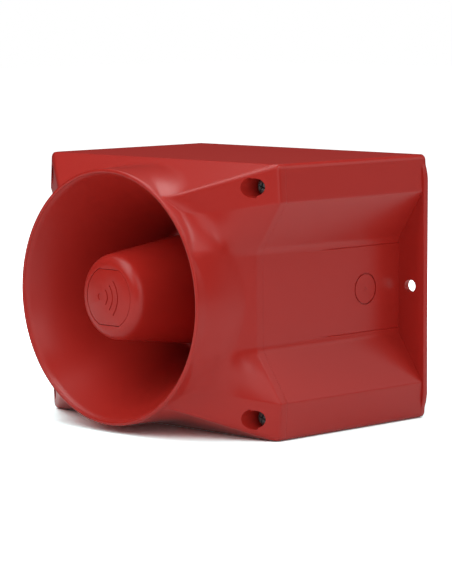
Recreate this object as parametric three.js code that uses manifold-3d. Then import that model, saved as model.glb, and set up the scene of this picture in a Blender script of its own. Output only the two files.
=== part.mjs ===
// Alarm siren: a wall-mounted, re-entrant horn sounder in a red moulded housing.
// Millimetres, +Z up. The origin is the centre of the flat rear face that goes against the wall,
// the horn faces -Y, and +X is to the right of someone who stands in front of it.
import * as THREE from 'three';
import { mergeVertices } from 'three/addons/utils/BufferGeometryUtils.js';
import Module from 'manifold-3d';

const wasm = await Module();
wasm.setup();

// ---- Driving dimensions ----
const gap = 0.3; // clearance between two pieces that touch in the real assembly
const bodyHeight = 166;
const bodyDepth = 133; // wall face to the ridge where the front starts to slope
const bellProud = 46.3; // horn rim in front of the ridge
const rimInset = 4.6; // rim radius below half the body height
const floorStandout = 3.6; // side pocket's floor outside the rim radius
const pocketDepth = 19.5;
const pocketMouthHalf = 60;
const pocketFloorHalf = 30;
const wall = 3;
const edgeRadius = 3.5; // long outer edges of the body
const skirtDepth = 5.6; // straight part of the front housing behind the ridge
const bellTaper = 1.1; // how much the bell's outside widens from the rim to the ridge
const blendWidth = 11; // of the soft valley between the bell and the corner wedges
const creaseAngle = 55.4; // degrees up from X, where the corner crease meets the rim
const creaseSink = 4.4; // the crease's end below the rim's surface
const cornerFaceEnd = 11; // height of the corner's slanted face where it reaches the rim
const floorSink = 11.5; // pocket floor's fall over the front slope

const flangeThickness = 4;
const flangeStandout = 1.5; // flange edge outside the body's sides
const flangeSideArc = 30; // radius of the flange's curved-in side ends
const flangeArcHeight = 17; // height of each curved-in end
const slotHeight = 7.5;
const slotWidth = 9;
const slotInset = 11.5; // slot centre to flange edge
const knockoutRadius = 10;
const knockoutGroove = 0.9;
const knockoutDepth = 0.8;
const knockoutFromWall = 35.4;

const chamberDepth = 95; // wall face to the horn's bottom
const rimWall = 2.5;
const throatRadius = 42; // horn's inner radius at its bottom
const hornCurve = 1.25;
const hornFloorWall = 4;
const hornFlangeRadius = 56;
const tubeSeatDepth = 1; // recess for the tube's flange, measured from the horn's bottom

const cupFaceRadius = 25.6;
const cupEdgeRadius = 7.5;
const cupSetback = 1.6; // cup's face behind the rim
const cupFlare = 0.13; // growth in radius for each mm of depth
const cupWall = 2.5;
const cupTurnGap = 12; // cup's open end to the horn's bottom
const badgeRadius = 19;
const badgeFlatHalf = 17;
const badgeThickness = 1.6;
const tubeBore = 11;
const tubeWall = 3;
const tubeFlangeRadius = 24;
const tubeFlangeThickness = 3;
const cupFaceWall = 4;
const tubeFromCupFace = 26; // tube's front end behind the cup's face
const hubLength = 8; // tube's hub, which the cup screw holds
const hubRadius = 5.5;
const hubArm = 1.2; // half the thickness of the hub's three arms
const cupScrewRadius = 2;
const cupScrewHead = 3.8;
const cupScrewHeadHeight = 2.2;

const screwFromSide = 12.5; // cover screw's axis to the body's side
const screwFromTop = 13.6;
const wellRadius = 5.9;
const bossWall = 2.6;
const wellFloor = 3.6; // boss material under the screw head
const screwRadius = 2.4;
const screwHeadRadius = 4.9;
const screwHeadHeight = 4.2;
const screwLength = 20;
const recessHalf = 0.5; // half the width of a screwdriver slot
const recessReach = 0.62; // its length as a share of the head
const webHalf = 1; // half the thickness of the web from a boss to the side
const insertOuterRadius = 4.2;
const insertLength = 10;

const ledgeWidth = 4;
const ledgeDepth = 3;
const gasketThickness = 1.8;

const driverRadius = 40;
const driverGasketThickness = 1.2;
const throatPlateThickness = 5;
const chamberRingThickness = 3;
const topPlateThickness = 4;
const magnetThickness = 9;
const backPlateThickness = 4;
const coilRadius = 19;
const coilWall = 0.8;
const airGap = 0.9; // clearance on each side of the voice coil
const driverCoverWall = 1.5;
const driverCoverRadius = 34;
const magnetRadius = 30.5;
const driverScrewRadius = 1.7;
const driverScrewCircle = 36.8;
const driverScrewHead = 2.4;
const driverScrewHeadHeight = 2;
const surroundWidth = 4; // diaphragm outside the voice coil
const diaphragmSkin = 0.5;
const domeHeight = 4.5;
const plugWidth = 5.5;
const plugRingWall = 1.4;
const magnetBore = 24;

const boardFromWall = 36;
const boardThickness = 1.6;
const pillarFromDriver = 10.9; // board pillar's axis to the driver's rim
const pillarInset = 14; // board pillar's axis to the board's edge
const pillarRadius = 3.4;
const boardScrew = { radius: 1.5, headRadius: 2.8, headHeight: 1.8, length: 8, socket: 0.9 };
const boardHole = 1.8;
const sliderCount = 5;
const sliderHalf = 0.7;
const sliderTravel = 1.6;
const terminal = { pitch: 5, depth: 10, from: -34, to: -24, wireHalf: 1.7, supplyX: -18, controlX: 16 };
const toneSwitch = { x: -20, z: 26, pitch: 2.54, height: 9, depth: 5.5 };
const volume = { x: 22, z: 26, half: 6, depth: 6, shaft: 2, knobRadius: 4.5, knobHeight: 4 };
const reservoir = { x: -33, z: 4, radius: 6.3, height: 16 };
const filter = { x: -16, z: 5, radius: 5, height: 12 };
const choke = { x: 2, z: -2, bore: 3, radius: 8, height: 6 };
const chip = { x: 21, z: 1, half: 5, height: 2.2 };
const sink = { x: 31, z: 10, half: 12, height: 14, plate: 1.8, reach: 8, fins: 5, fin: 1.6 };
const transistor = { half: 5, thickness: 4.7, from: 3, height: 10 };
const leadRadius = 1.1;
const leadSpacing = 10;
const leadZ = 38;

// ---- Colours ----
const finishes = {
  red: { color: 0xa82a22, roughness: 0.34, metalness: 0 },
  redInside: { color: 0x9c241d, roughness: 0.4, metalness: 0 },
  steel: { color: 0x8c8f93, roughness: 0.35, metalness: 1 },
  darkSteel: { color: 0x3a3c40, roughness: 0.4, metalness: 1 },
  brass: { color: 0xb98d45, roughness: 0.35, metalness: 1 },
  aluminium: { color: 0xa9acb0, roughness: 0.4, metalness: 1 },
  ferrite: { color: 0x2b2b2e, roughness: 0.6, metalness: 0 },
  rubber: { color: 0x1c1c1d, roughness: 0.8, metalness: 0 },
  amber: { color: 0xb9823c, roughness: 0.5, metalness: 0 },
  copper: { color: 0xa4592f, roughness: 0.4, metalness: 1 },
  laminate: { color: 0x1f5a33, roughness: 0.5, metalness: 0 },
  blackPlastic: { color: 0x202124, roughness: 0.45, metalness: 0 },
  greenPlastic: { color: 0x2f7a3f, roughness: 0.45, metalness: 0 },
  bluePlastic: { color: 0x2a4d92, roughness: 0.4, metalness: 0 },
  whitePlastic: { color: 0xdedcd4, roughness: 0.4, metalness: 0 },
  leadRed: { color: 0xb02a22, roughness: 0.5, metalness: 0 },
  leadBlack: { color: 0x18181a, roughness: 0.5, metalness: 0 },
};

// ---- Sizes and places that follow from them ----
const halfHeight = bodyHeight / 2;
const rimRadius = halfHeight - rimInset;
const floorX = rimRadius + floorStandout;
const halfWidth = floorX + pocketDepth;
const flangeHalf = halfWidth + flangeStandout;
const ridgeY = -bodyDepth;
const rimY = ridgeY - bellProud;
const partingY = ridgeY + skirtDepth;
const frontEndY = partingY - gap / 2;
const rearStartY = partingY + gap / 2;
const hornFloorY = -chamberDepth;
const screwX = halfWidth - screwFromSide;
const screwZ = halfHeight - screwFromTop;
const corners = [[1, 1], [-1, 1], [-1, -1], [1, -1]];
const bossRadius = wellRadius + bossWall;
const driverScrewSpots = corners.map((spot) => spot.map((s) => s * driverScrewCircle * Math.SQRT1_2));
const pillarSpot = (driverRadius + pillarFromDriver) * Math.SQRT1_2;
const boardHalf = pillarSpot + pillarInset;
const overcut = 1; // how far a cutting solid runs past the faces it cuts

// ---- Solids ----
function solid(geometry) {
  const plain = geometry.index ? geometry.clone() : geometry;
  plain.deleteAttribute('normal');
  plain.deleteAttribute('uv');
  const merged = mergeVertices(plain, 1e-4);
  const vertProperties = new Float32Array(merged.attributes.position.array);
  const triVerts = new Uint32Array(merged.index.array);
  let volume = 0;
  const corner = [new THREE.Vector3(), new THREE.Vector3(), new THREE.Vector3()];
  for (let i = 0; i < triVerts.length; i += 3) {
    for (let k = 0; k < 3; k++) corner[k].fromArray(vertProperties, 3 * triVerts[i + k]);
    volume += corner[0].dot(corner[1].cross(corner[2]));
  }
  if (volume < 0) triVerts.reverse();
  return new wasm.Manifold(new wasm.Mesh({ numProp: 3, vertProperties, triVerts }));
}

function geometryOf(body) {
  const mesh = body.getMesh();
  const geometry = new THREE.BufferGeometry();
  geometry.setAttribute('position', new THREE.BufferAttribute(new Float32Array(mesh.vertProperties), 3));
  geometry.setIndex(new THREE.BufferAttribute(new Uint32Array(mesh.triVerts), 1));
  geometry.computeVertexNormals();
  return geometry;
}

// A body turned about the horn's axis, from a closed profile of [radius, y].
function turned(profile, segments = 48) {
  const points = [...profile, profile[0]].map(([r, y]) => new THREE.Vector2(r, y));
  return solid(new THREE.LatheGeometry(points, segments));
}

function disc(radius, y0, y1, segments = 24, x = 0, z = 0) {
  const geometry = new THREE.CylinderGeometry(radius, radius, y1 - y0, segments);
  return solid(geometry.translate(x, (y0 + y1) / 2, z));
}

function ring(outer, inner, y0, y1, segments = 48) {
  return turned([[inner, y0], [outer, y0], [outer, y1], [inner, y1]], segments);
}

function block(x0, x1, y0, y1, z0, z1) {
  const geometry = new THREE.BoxGeometry(x1 - x0, y1 - y0, z1 - z0);
  return solid(geometry.translate((x0 + x1) / 2, (y0 + y1) / 2, (z0 + z1) / 2));
}

// A flat outline of [x, z] points, extruded from y0 back to y1.
function plate(outline, y0, y1) {
  const shape = new THREE.Shape(outline.map(([x, z]) => new THREE.Vector2(x, z)));
  const geometry = new THREE.ExtrudeGeometry(shape, { depth: y1 - y0, bevelEnabled: false });
  return solid(geometry.rotateX(Math.PI / 2).translate(0, y1, 0));
}

// Rings of equal point count, joined in order and closed with a fan at each end.
function loft(rings) {
  const count = rings[0].length;
  const positions = rings.flat().flat();
  const ends = [rings[0], rings[rings.length - 1]];
  for (const end of ends) positions.push(0, end[0][1], 0);
  const index = [];
  for (let j = 0; j + 1 < rings.length; j++) {
    for (let i = 0; i < count; i++) {
      const a = j * count + i;
      const b = j * count + ((i + 1) % count);
      index.push(a, b, a + count, b, b + count, a + count);
    }
  }
  const first = rings.length * count;
  const last = (rings.length - 1) * count;
  for (let i = 0; i < count; i++) {
    const next = (i + 1) % count;
    index.push(first, next, i);
    index.push(first + 1, last + i, last + next);
  }
  const geometry = new THREE.BufferGeometry();
  geometry.setAttribute('position', new THREE.BufferAttribute(new Float32Array(positions), 3));
  geometry.setIndex(index);
  return solid(geometry);
}

const moved = (body, x, y, z) => body.translate([x, y, z]);
const joined = (...bodies) => bodies.reduce((sum, body) => sum.add(body));

// ---- The housing's section ----
const rimCornerR = rimRadius - creaseSink;
const creaseX = rimCornerR * Math.cos(THREE.MathUtils.degToRad(creaseAngle));
const creaseZ = rimCornerR * Math.sin(THREE.MathUtils.degToRad(creaseAngle));
const lerp = THREE.MathUtils.lerp;

// One quarter of the section, `forward` mm in front of the ridge and `inset` mm inside the surface:
// pocket floor, pocket wall, corner face and top, as [x, z] from the X axis up to the Z axis.
function quarter(forward, inset) {
  const t = forward / bellProud;
  const side = lerp(halfWidth, creaseX, t);
  const top = lerp(halfHeight, creaseZ, t);
  const mouth = lerp(pocketMouthHalf, creaseZ - cornerFaceEnd, t);
  const floor = floorX - floorSink * t;
  const slope = Math.hypot(pocketDepth, pocketMouthHalf - pocketFloorHalf);
  const wallX = (pocketMouthHalf - pocketFloorHalf) / slope;
  const shift = (1 - wallX) / (pocketDepth / slope); // keeps the slanted wall's thickness
  const r = Math.max(edgeRadius - inset, 0.4);
  const [right, high] = [side - inset, top - inset];
  const points = [
    [floor - inset, 0, 1],
    [floor - inset, pocketFloorHalf + inset * shift, 2],
    [right, mouth + inset * shift, 1],
    [right, high - r, 1],
    [right - r * (1 - Math.SQRT1_2), high - r * (1 - Math.SQRT1_2), 1],
    [right - r, high, 5],
    [0, high, 0],
  ];
  const fine = [];
  for (let i = 0; i + 1 < points.length; i++) {
    const [x0, z0, steps] = points[i];
    const [x1, z1] = points[i + 1];
    for (let k = 0; k < steps; k++) fine.push([lerp(x0, x1, k / steps), lerp(z0, z1, k / steps)]);
  }
  fine.push(points[points.length - 1].slice(0, 2));
  const bell = rimRadius + bellTaper * (1 - t) - inset;
  const blend = 4 * blendWidth * t * (1 - t);
  return fine.map(([x, z]) => {
    const radius = Math.hypot(x, z);
    const k = Math.max(blend, 1e-6);
    const near = Math.max(k - Math.abs(radius - bell), 0) / k;
    const pushed = Math.max(radius, bell) + (near * near * k) / 4;
    const share = forward === 0 ? 1 : pushed / radius;
    return [x * share, z * share];
  });
}

function section(forward, inset) {
  const one = quarter(forward, inset);
  const two = one.slice(0, -1).reverse().map(([x, z]) => [-x, z]);
  const three = one.slice(1).map(([x, z]) => [-x, -z]);
  const four = one.slice(1, -1).reverse().map(([x, z]) => [x, -z]);
  return [...one, ...two, ...three, ...four];
}

const sectionRing = (forward, inset, y) => section(forward, inset).map(([x, z]) => [x, y, z]);
const straight = (inset, y0, y1) => loft([sectionRing(0, inset, y0), sectionRing(0, inset, y1)]);

// ---- The horn's inside ----
const hornLength = hornFloorY - rimY;
const mouthRadius = rimRadius - rimWall;
const hornRadius = (y) => {
  const t = (y - rimY) / hornLength;
  return throatRadius + (mouthRadius - throatRadius) * (1 - t) ** hornCurve;
};
function hornProfile(offset, steps) {
  const profile = [];
  for (let i = 0; i <= steps; i++) {
    const y = rimY + (hornLength * i) / steps;
    profile.push([hornRadius(y) + offset, y]);
  }
  return profile;
}

// ---- Rear housing ----
function rearHousing() {
  const slopeEnd = -flangeThickness;
  let body = straight(0, rearStartY, -gap).subtract(straight(wall, rearStartY - 1, slopeEnd));
  const ledgeFront = rearStartY + gasketThickness - gap;
  const ledge = straight(wall - 0.5, ledgeFront, ledgeFront + ledgeDepth)
    .subtract(straight(wall + ledgeWidth, ledgeFront - 1, ledgeFront + ledgeDepth + 1));
  const arcSide = (z) => flangeHalf - flangeSideArc + Math.sqrt(flangeSideArc ** 2 - z ** 2);
  const side = [];
  for (let i = 0; i <= 4; i++) {
    const z = (flangeArcHeight * i) / 4;
    side.push([arcSide(z), halfHeight - flangeArcHeight + z]);
  }
  const outline = [
    ...side,
    ...side.map(([x, z]) => [-x, z]).reverse(),
    ...side.map(([x, z]) => [-x, -z]),
    ...side.map(([x, z]) => [x, -z]).reverse(),
  ];
  body = joined(body, ledge, plate(outline, -flangeThickness, 0));
  for (const [sx, sz] of corners) {
    const x = sx * screwX;
    const z = sz * screwZ;
    const end = slopeEnd + 0.5;
    const boss = disc(bossRadius, ledgeFront, end, 14, x, z);
    const webEnds = ordered(x, sx * (halfWidth - wall + 0.5));
    const web = block(...webEnds, ledgeFront, end, z - webHalf, z + webHalf);
    const insertEnd = ledgeFront + insertLength + gap;
    body = joined(body, boss, web);
    body = body.subtract(disc(insertOuterRadius + gap, ledgeFront - overcut, insertEnd, 14, x, z));
    body = body.subtract(disc(screwRadius + gap, ledgeFront, ledgeFront + screwLength, 8, x, z));
  }
  for (const s of [1, -1]) {
    body = body.subtract(slotSolid(s * (flangeHalf - slotInset)));
    body = body.subtract(knockoutCut(s));
  }
  return body;
}

const ordered = (a, b) => [Math.min(a, b), Math.max(a, b)];

function slotSolid(x) {
  const outline = [];
  const r = slotHeight / 2;
  const half = (slotWidth - slotHeight) / 2;
  for (const s of [1, -1]) {
    for (let i = 0; i <= 8; i++) {
      const a = -Math.PI / 2 + (Math.PI * i) / 8;
      outline.push([x + s * (half + r * Math.cos(a)), s * r * Math.sin(a)]);
    }
  }
  return plate(outline, -flangeThickness - overcut, overcut);
}

// The thin ring that frees the cable entry's blank, with a dimple for the drill at its centre.
function knockoutCut(s) {
  const groove = ring(knockoutRadius, knockoutRadius - knockoutGroove, -knockoutDepth, overcut, 24);
  const dimple = turned([[0, -knockoutDepth * 0.75], [knockoutGroove, overcut], [0, overcut]], 6);
  return moved(groove.add(dimple).rotate([0, 0, -90 * s]), s * floorX, -knockoutFromWall, 0);
}

// ---- Front housing ----
function frontHousing() {
  const slope = (steps, reach, inset) => Array.from({ length: steps + 1 }, (_, i) => {
    const forward = (reach * i) / steps;
    return sectionRing(forward, inset, ridgeY - forward);
  });
  const outer = loft([sectionRing(0, 0, frontEndY), ...slope(6, bellProud, 0)]);
  const inner = loft([sectionRing(0, wall, frontEndY + 1), ...slope(2, bellProud - wall, wall)]);
  const ledgeStart = frontEndY - ledgeDepth;
  const ledge = straight(wall - 0.5, ledgeStart, frontEndY)
    .subtract(straight(wall + ledgeWidth, ledgeStart - 1, frontEndY + 1));
  const skin = hornProfile(rimWall, 4);
  const hornBackY = hornFloorY + hornFloorWall;
  const bell = turned([
    [0, rimY], ...skin, [hornFlangeRadius, hornFloorY], [hornFlangeRadius, hornBackY], [0, hornBackY],
  ], 40);
  const clear = rimY - overcut;
  const mouth = turned([[0, clear], [mouthRadius, clear], ...hornProfile(0, 6), [0, hornFloorY]], 40);
  let body = joined(outer.subtract(inner), bell, ledge);
  const seatY = frontEndY - wellFloor;
  for (const [sx, sz] of corners) {
    const x = sx * screwX;
    const z = sz * screwZ;
    const tube = disc(bossRadius, rimY, frontEndY, 12, x, z).intersect(outer);
    body = body.add(tube);
    body = body.subtract(disc(wellRadius, clear, seatY, 14, x, z));
    body = body.subtract(disc(screwRadius + gap, seatY - overcut, frontEndY + overcut, 8, x, z));
  }
  body = body.subtract(mouth);
  const seat = hornFloorY + tubeSeatDepth;
  const past = hornBackY + overcut;
  body = body.subtract(disc(tubeBore + tubeWall + gap, hornFloorY - overcut, past, 24));
  body = body.subtract(disc(tubeFlangeRadius + gap, seat, past, 24));
  for (const [x, z] of driverScrewSpots) {
    body = body.subtract(disc(driverScrewRadius + gap, seat, past, 8, x, z));
  }
  return body;
}

// ---- Horn cup, tube and badge ----
const cupFaceY = rimY + cupSetback;
const cupEndY = hornFloorY - cupTurnGap;
const cupRadius = (y) => cupFaceRadius + cupFlare * (y - cupFaceY);
const badgeSeatY = cupFaceY + badgeThickness + gap;
const tubeFrontY = cupFaceY + tubeFromCupFace;

function cupSkin(offset, faceY, steps) {
  const edge = Math.max(cupEdgeRadius - offset, 1);
  const top = cupRadius(cupFaceY + cupEdgeRadius) - offset;
  const profile = [[0, faceY], [top - edge, faceY]];
  for (let i = 1; i <= steps; i++) {
    const a = (Math.PI / 2) * (i / steps);
    profile.push([top - edge + edge * Math.sin(a), faceY + edge * (1 - Math.cos(a))]);
  }
  return profile;
}

function hornCup() {
  const outer = turned([...cupSkin(0, cupFaceY, 4), [cupRadius(cupEndY), cupEndY], [0, cupEndY]], 36);
  const innerFace = cupFaceY + cupFaceWall;
  const inner = turned([
    ...cupSkin(cupWall, innerFace, 2), [cupRadius(cupEndY + overcut) - cupWall, cupEndY + overcut],
    [0, cupEndY + overcut],
  ], 36);
  const boss = disc(hubRadius, innerFace - 0.5, tubeFrontY - gap, 16);
  const recess = badgeOutline(badgeRadius + gap, badgeFlatHalf + gap);
  const badgeHole = plate(recess, cupFaceY - overcut, badgeSeatY);
  const screwHole = disc(cupScrewRadius + gap, cupFaceY - overcut, tubeFrontY + overcut, 12);
  const headHole = disc(cupScrewHead + gap, cupFaceY, badgeSeatY + cupScrewHeadHeight + 0.4, 16);
  return outer.subtract(inner).add(boss).subtract(badgeHole).subtract(screwHole).subtract(headHole);
}

// A circle with its top and bottom cut flat.
function badgeOutline(radius, flatHalf) {
  const outline = [];
  const cut = Math.asin(flatHalf / radius);
  for (const s of [1, -1]) {
    for (let i = 0; i <= 8; i++) {
      const a = -cut + (2 * cut * i) / 8;
      outline.push([s * radius * Math.cos(a), s * radius * Math.sin(a)]);
    }
  }
  return outline;
}

function badgePlate() {
  return plate(badgeOutline(badgeRadius, badgeFlatHalf), cupFaceY, cupFaceY + badgeThickness);
}

function toneTube() {
  const outerR = tubeBore + tubeWall;
  const flangeY = hornFloorY + tubeSeatDepth + gap;
  const shell = turned([
    [tubeBore, tubeFrontY], [outerR, tubeFrontY], [outerR, flangeY], [tubeFlangeRadius, flangeY],
    [tubeFlangeRadius, flangeY + tubeFlangeThickness - gap], [tubeBore, flangeY + tubeFlangeThickness - gap],
  ], 24);
  let body = shell.add(disc(hubRadius, tubeFrontY, tubeFrontY + hubLength, 12));
  for (let i = 0; i < 3; i++) {
    const arm = block(0, tubeBore + 1, tubeFrontY, tubeFrontY + hubLength, -hubArm, hubArm);
    body = body.add(arm.rotate([0, 120 * i + 90, 0]));
  }
  return body.subtract(disc(cupScrewRadius + gap, tubeFrontY - overcut, tubeFrontY + hubLength - 1.5, 12));
}

// A screw along Y with its head at the front, and a slot or a cross in the head.
function screw({ radius, headRadius, headHeight, length, headY = 0, x = 0, z = 0, socket, cross = false }) {
  const neck = headY + headHeight;
  const profile = [
    [0, headY], [headRadius * 0.8, headY], [headRadius, headY + headHeight * 0.35], [headRadius, neck],
    [radius, neck], [radius, neck + length], [0, neck + length],
  ];
  const arm = headRadius * recessReach;
  const slot = block(-arm, arm, headY - overcut, headY + socket, -recessHalf, recessHalf);
  let body = turned(profile, 10).subtract(slot);
  if (cross) body = body.subtract(slot.rotate([0, 90, 0]));
  return moved(body, x, 0, z);
}

// ---- Compression driver: front to back from the horn's floor ----
const driverStartY = hornFloorY + hornFloorWall + gap;
const throatY = driverStartY + driverGasketThickness + gap;
const ringY = throatY + throatPlateThickness + gap;
const topPlateY = ringY + chamberRingThickness + gap;
const magnetY = topPlateY + topPlateThickness + gap;
const backPlateY = magnetY + magnetThickness + gap;
const driverEndY = backPlateY + backPlateThickness;
const plugY = throatY + 1.5;
const diaphragmY = ringY + 0.8;
const rollY = diaphragmY + domeHeight * 0.25; // where the dome meets its flat surround

function phasePlug() {
  const back = throatY + throatPlateThickness - 1.2;
  const rimR = tubeBore + 2.6;
  let body = turned([[0, plugY], [2, plugY + 0.4], [plugWidth, back], [0, back]], 16);
  body = body.add(ring(rimR, rimR - plugRingWall, plugY, plugY + 1.9, 24));
  for (let i = 0; i < 3; i++) {
    const rib = block(1, rimR - 0.5, plugY + 0.5, plugY + 1.7, -0.7, 0.7);
    body = body.add(rib.rotate([0, 120 * i, 0]));
  }
  return body;
}

function throatPlate() {
  const back = throatY + throatPlateThickness;
  const seat = tubeBore + 2.6 + gap;
  let body = turned([[tubeBore, throatY], [driverRadius, throatY], [driverRadius, back], [seat, back],
    [seat, throatY + 1.2], [tubeBore, throatY + 1.2]], 28);
  for (const [x, z] of driverScrewSpots) {
    body = body.subtract(disc(driverScrewRadius + gap, throatY - overcut, back + overcut, 8, x, z));
  }
  return body;
}

function drilledRing(outer, inner, y0, y1) {
  let body = ring(outer, inner, y0, y1, 32);
  for (const [x, z] of driverScrewSpots) {
    body = body.subtract(disc(driverScrewRadius + gap, y0 - overcut, y1 + overcut, 8, x, z));
  }
  return body;
}

// A thin dome that bows forward, with a flat roll around it.
function diaphragm() {
  const edge = coilRadius + coilWall;
  const front = [];
  for (let i = 0; i <= 3; i++) {
    const r = (edge * i) / 3;
    front.push([r, lerp(diaphragmY, rollY, (r / edge) ** 2)]);
  }
  const back = front.map(([r, y]) => [r, y + diaphragmSkin]).reverse();
  const outer = edge + surroundWidth;
  return turned([...front, [outer, rollY], [outer, rollY + diaphragmSkin], ...back], 28);
}

function voiceCoil() {
  const start = rollY + diaphragmSkin + gap;
  return ring(coilRadius + coilWall, coilRadius, start, topPlateY + topPlateThickness + 1.5, 28);
}

function polePiece() {
  const pole = coilRadius - airGap;
  const backRadius = driverCoverRadius - driverCoverWall - gap;
  return turned([[0, topPlateY], [pole, topPlateY], [pole, backPlateY], [backRadius, backPlateY],
    [backRadius, driverEndY], [0, driverEndY]], 28);
}

function driverCover() {
  const front = topPlateY + topPlateThickness + gap;
  const radius = driverCoverRadius;
  const end = driverEndY + gap + driverCoverWall;
  const inner = radius - driverCoverWall;
  const body = turned([[inner, front], [radius, front], [radius, end - 2], [radius - 2, end], [0, end],
    [0, driverEndY + gap], [inner, driverEndY + gap]], 32);
  return body.subtract(block(-9, 9, driverEndY - 4, end + overcut, radius - 9, radius - 3.5));
}

// ---- Circuit board and what is on it ----
const boardY = -boardFromWall;
const boardBackY = boardY + boardThickness;
const onBoardY = boardBackY + gap;

function circuitBoard() {
  let body = block(-boardHalf, boardHalf, boardY, boardBackY, -boardHalf, boardHalf);
  const [front, back] = [boardY - overcut, boardBackY + overcut];
  for (const [sx, sz] of corners) {
    body = body.subtract(disc(boardHole + gap, front, back, 8, sx * pillarSpot, sz * pillarSpot));
  }
  for (const s of [1, -1]) {
    body = body.subtract(disc(leadRadius + gap, front, back, 8, (s * leadSpacing) / 2, leadZ));
  }
  return body;
}

function pillar(x, z) {
  const start = hornFloorY + hornFloorWall + gap;
  const end = boardY - gap;
  return disc(pillarRadius, start, end, 6, x, z)
    .subtract(disc(boardHole, end - boardScrew.length - 1, end + overcut, 8, x, z));
}

const sliderX = (i) => toneSwitch.x + (i - (sliderCount - 1) / 2) * toneSwitch.pitch;
const switchTop = onBoardY + toneSwitch.depth;

function switchBody() {
  const { x, z, pitch, height } = toneSwitch;
  const half = ((sliderCount + 1) * pitch) / 2;
  const reach = sliderHalf + sliderTravel / 2 + gap;
  let body = block(x - half, x + half, onBoardY, switchTop, z - height / 2, z + height / 2);
  for (let i = 0; i < sliderCount; i++) {
    const [x0, x1] = [sliderX(i) - sliderHalf - gap / 2, sliderX(i) + sliderHalf + gap / 2];
    body = body.subtract(block(x0, x1, switchTop - 2, switchTop + overcut, z - reach, z + reach));
  }
  return body;
}

function switchSlider(i) {
  const x = sliderX(i);
  const z = toneSwitch.z - sliderTravel / 2;
  const [low, high] = [switchTop - 2 + gap, switchTop + 0.8];
  return block(x - sliderHalf, x + sliderHalf, low, high, z - sliderHalf, z + sliderHalf);
}

function volumeBody() {
  const { x, z, half, depth, shaft } = volume;
  const top = onBoardY + depth;
  return block(x - half, x + half, onBoardY, top, z - half, z + half)
    .subtract(disc(shaft + gap, top - 3, top + overcut, 12, x, z));
}

function volumeKnob() {
  const { x, z, depth, shaft, knobRadius, knobHeight } = volume;
  const base = onBoardY + depth + gap;
  const top = base + knobHeight;
  const stem = disc(shaft, base - 2.6 - gap, base + 0.5, 12, x, z);
  const slot = block(x - 3.2, x + 3.2, top - 1.2, top + overcut, z - recessHalf, z + recessHalf);
  const mark = block(x - 0.4, x + 0.4, top - 0.6, top + overcut, z, z + knobRadius + overcut);
  return stem.add(disc(knobRadius, base, top, 18, x, z)).subtract(slot).subtract(mark);
}

function terminalBlock(x, ways) {
  const { pitch, depth, from, to, wireHalf } = terminal;
  const half = (ways * pitch) / 2;
  const top = onBoardY + depth;
  let body = block(x - half, x + half, onBoardY, top, from, to);
  for (let i = 0; i < ways; i++) {
    const way = x - half + pitch * (i + 0.5);
    const [low, high] = [onBoardY + 1.5, onBoardY + 5.5];
    const wireWay = block(way - wireHalf, way + wireHalf, low, high, from - overcut, from + 6);
    const clampWay = disc(wireHalf, top - 2.2, top + overcut, 8, way, (from + to) / 2 + 0.6);
    body = body.subtract(wireWay).subtract(clampWay);
  }
  return body;
}

function capacitor({ x, z, radius, height }) {
  const top = onBoardY + height;
  const profile = [[0, onBoardY], [radius, onBoardY], [radius, top - 0.6], [radius - 0.6, top], [0, top]];
  return moved(turned(profile, 16), x, 0, z);
}

function inductor({ x, z, bore, radius, height }) {
  const top = onBoardY + height;
  return moved(turned([[bore, onBoardY], [radius - 1, onBoardY], [radius, onBoardY + 1], [radius, top - 1],
    [radius - 1, top], [bore, top]], 16), x, 0, z);
}

function heatsink({ x, z, half, height, plate: base, reach, fins, fin }) {
  const top = onBoardY + height;
  const pitch = (2 * half - fin) / (fins - 1);
  let body = block(x - half, x + half, onBoardY, top, z, z + base);
  for (let i = 0; i < fins; i++) {
    const side = x - half + pitch * i;
    body = body.add(block(side, side + fin, onBoardY, top, z + base - 0.5, z + reach));
  }
  return body;
}

// The two leads run from solder tags on the driver's side, round its cover, to the board.
function lead(x) {
  const tagY = topPlateY + topPlateThickness + 3;
  const path = new THREE.CatmullRomCurve3([
    new THREE.Vector3(x, tagY, leadZ - 2.6),
    new THREE.Vector3(x, tagY + 3, leadZ - 1.5),
    new THREE.Vector3(x, (tagY + boardY) / 2, leadZ),
    new THREE.Vector3(x, boardY - 3, leadZ),
    new THREE.Vector3(x, boardBackY + 1.2, leadZ),
  ]);
  const shape = new THREE.Shape();
  shape.absarc(0, 0, leadRadius, 0, Math.PI * 2, false);
  const options = { steps: 10, curveSegments: 3, extrudePath: path, bevelEnabled: false };
  return solid(new THREE.ExtrudeGeometry(shape, options));
}

// ---- The assembly ----
const siren = new THREE.Group();
siren.name = 'alarm_siren';

function add(name, body, finish, parent = siren) {
  const mesh = new THREE.Mesh(geometryOf(body), new THREE.MeshStandardMaterial(finishes[finish]));
  mesh.name = name;
  parent.add(mesh);
  return mesh;
}

const rearGroup = new THREE.Group();
const frontGroup = new THREE.Group();
siren.add(rearGroup, frontGroup);
const rear = (name, body, finish) => add(name, body, finish, rearGroup);
const front = (name, body, finish) => add(name, body, finish, frontGroup);
const ledgeFrontY = rearStartY + gasketThickness - gap;

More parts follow.
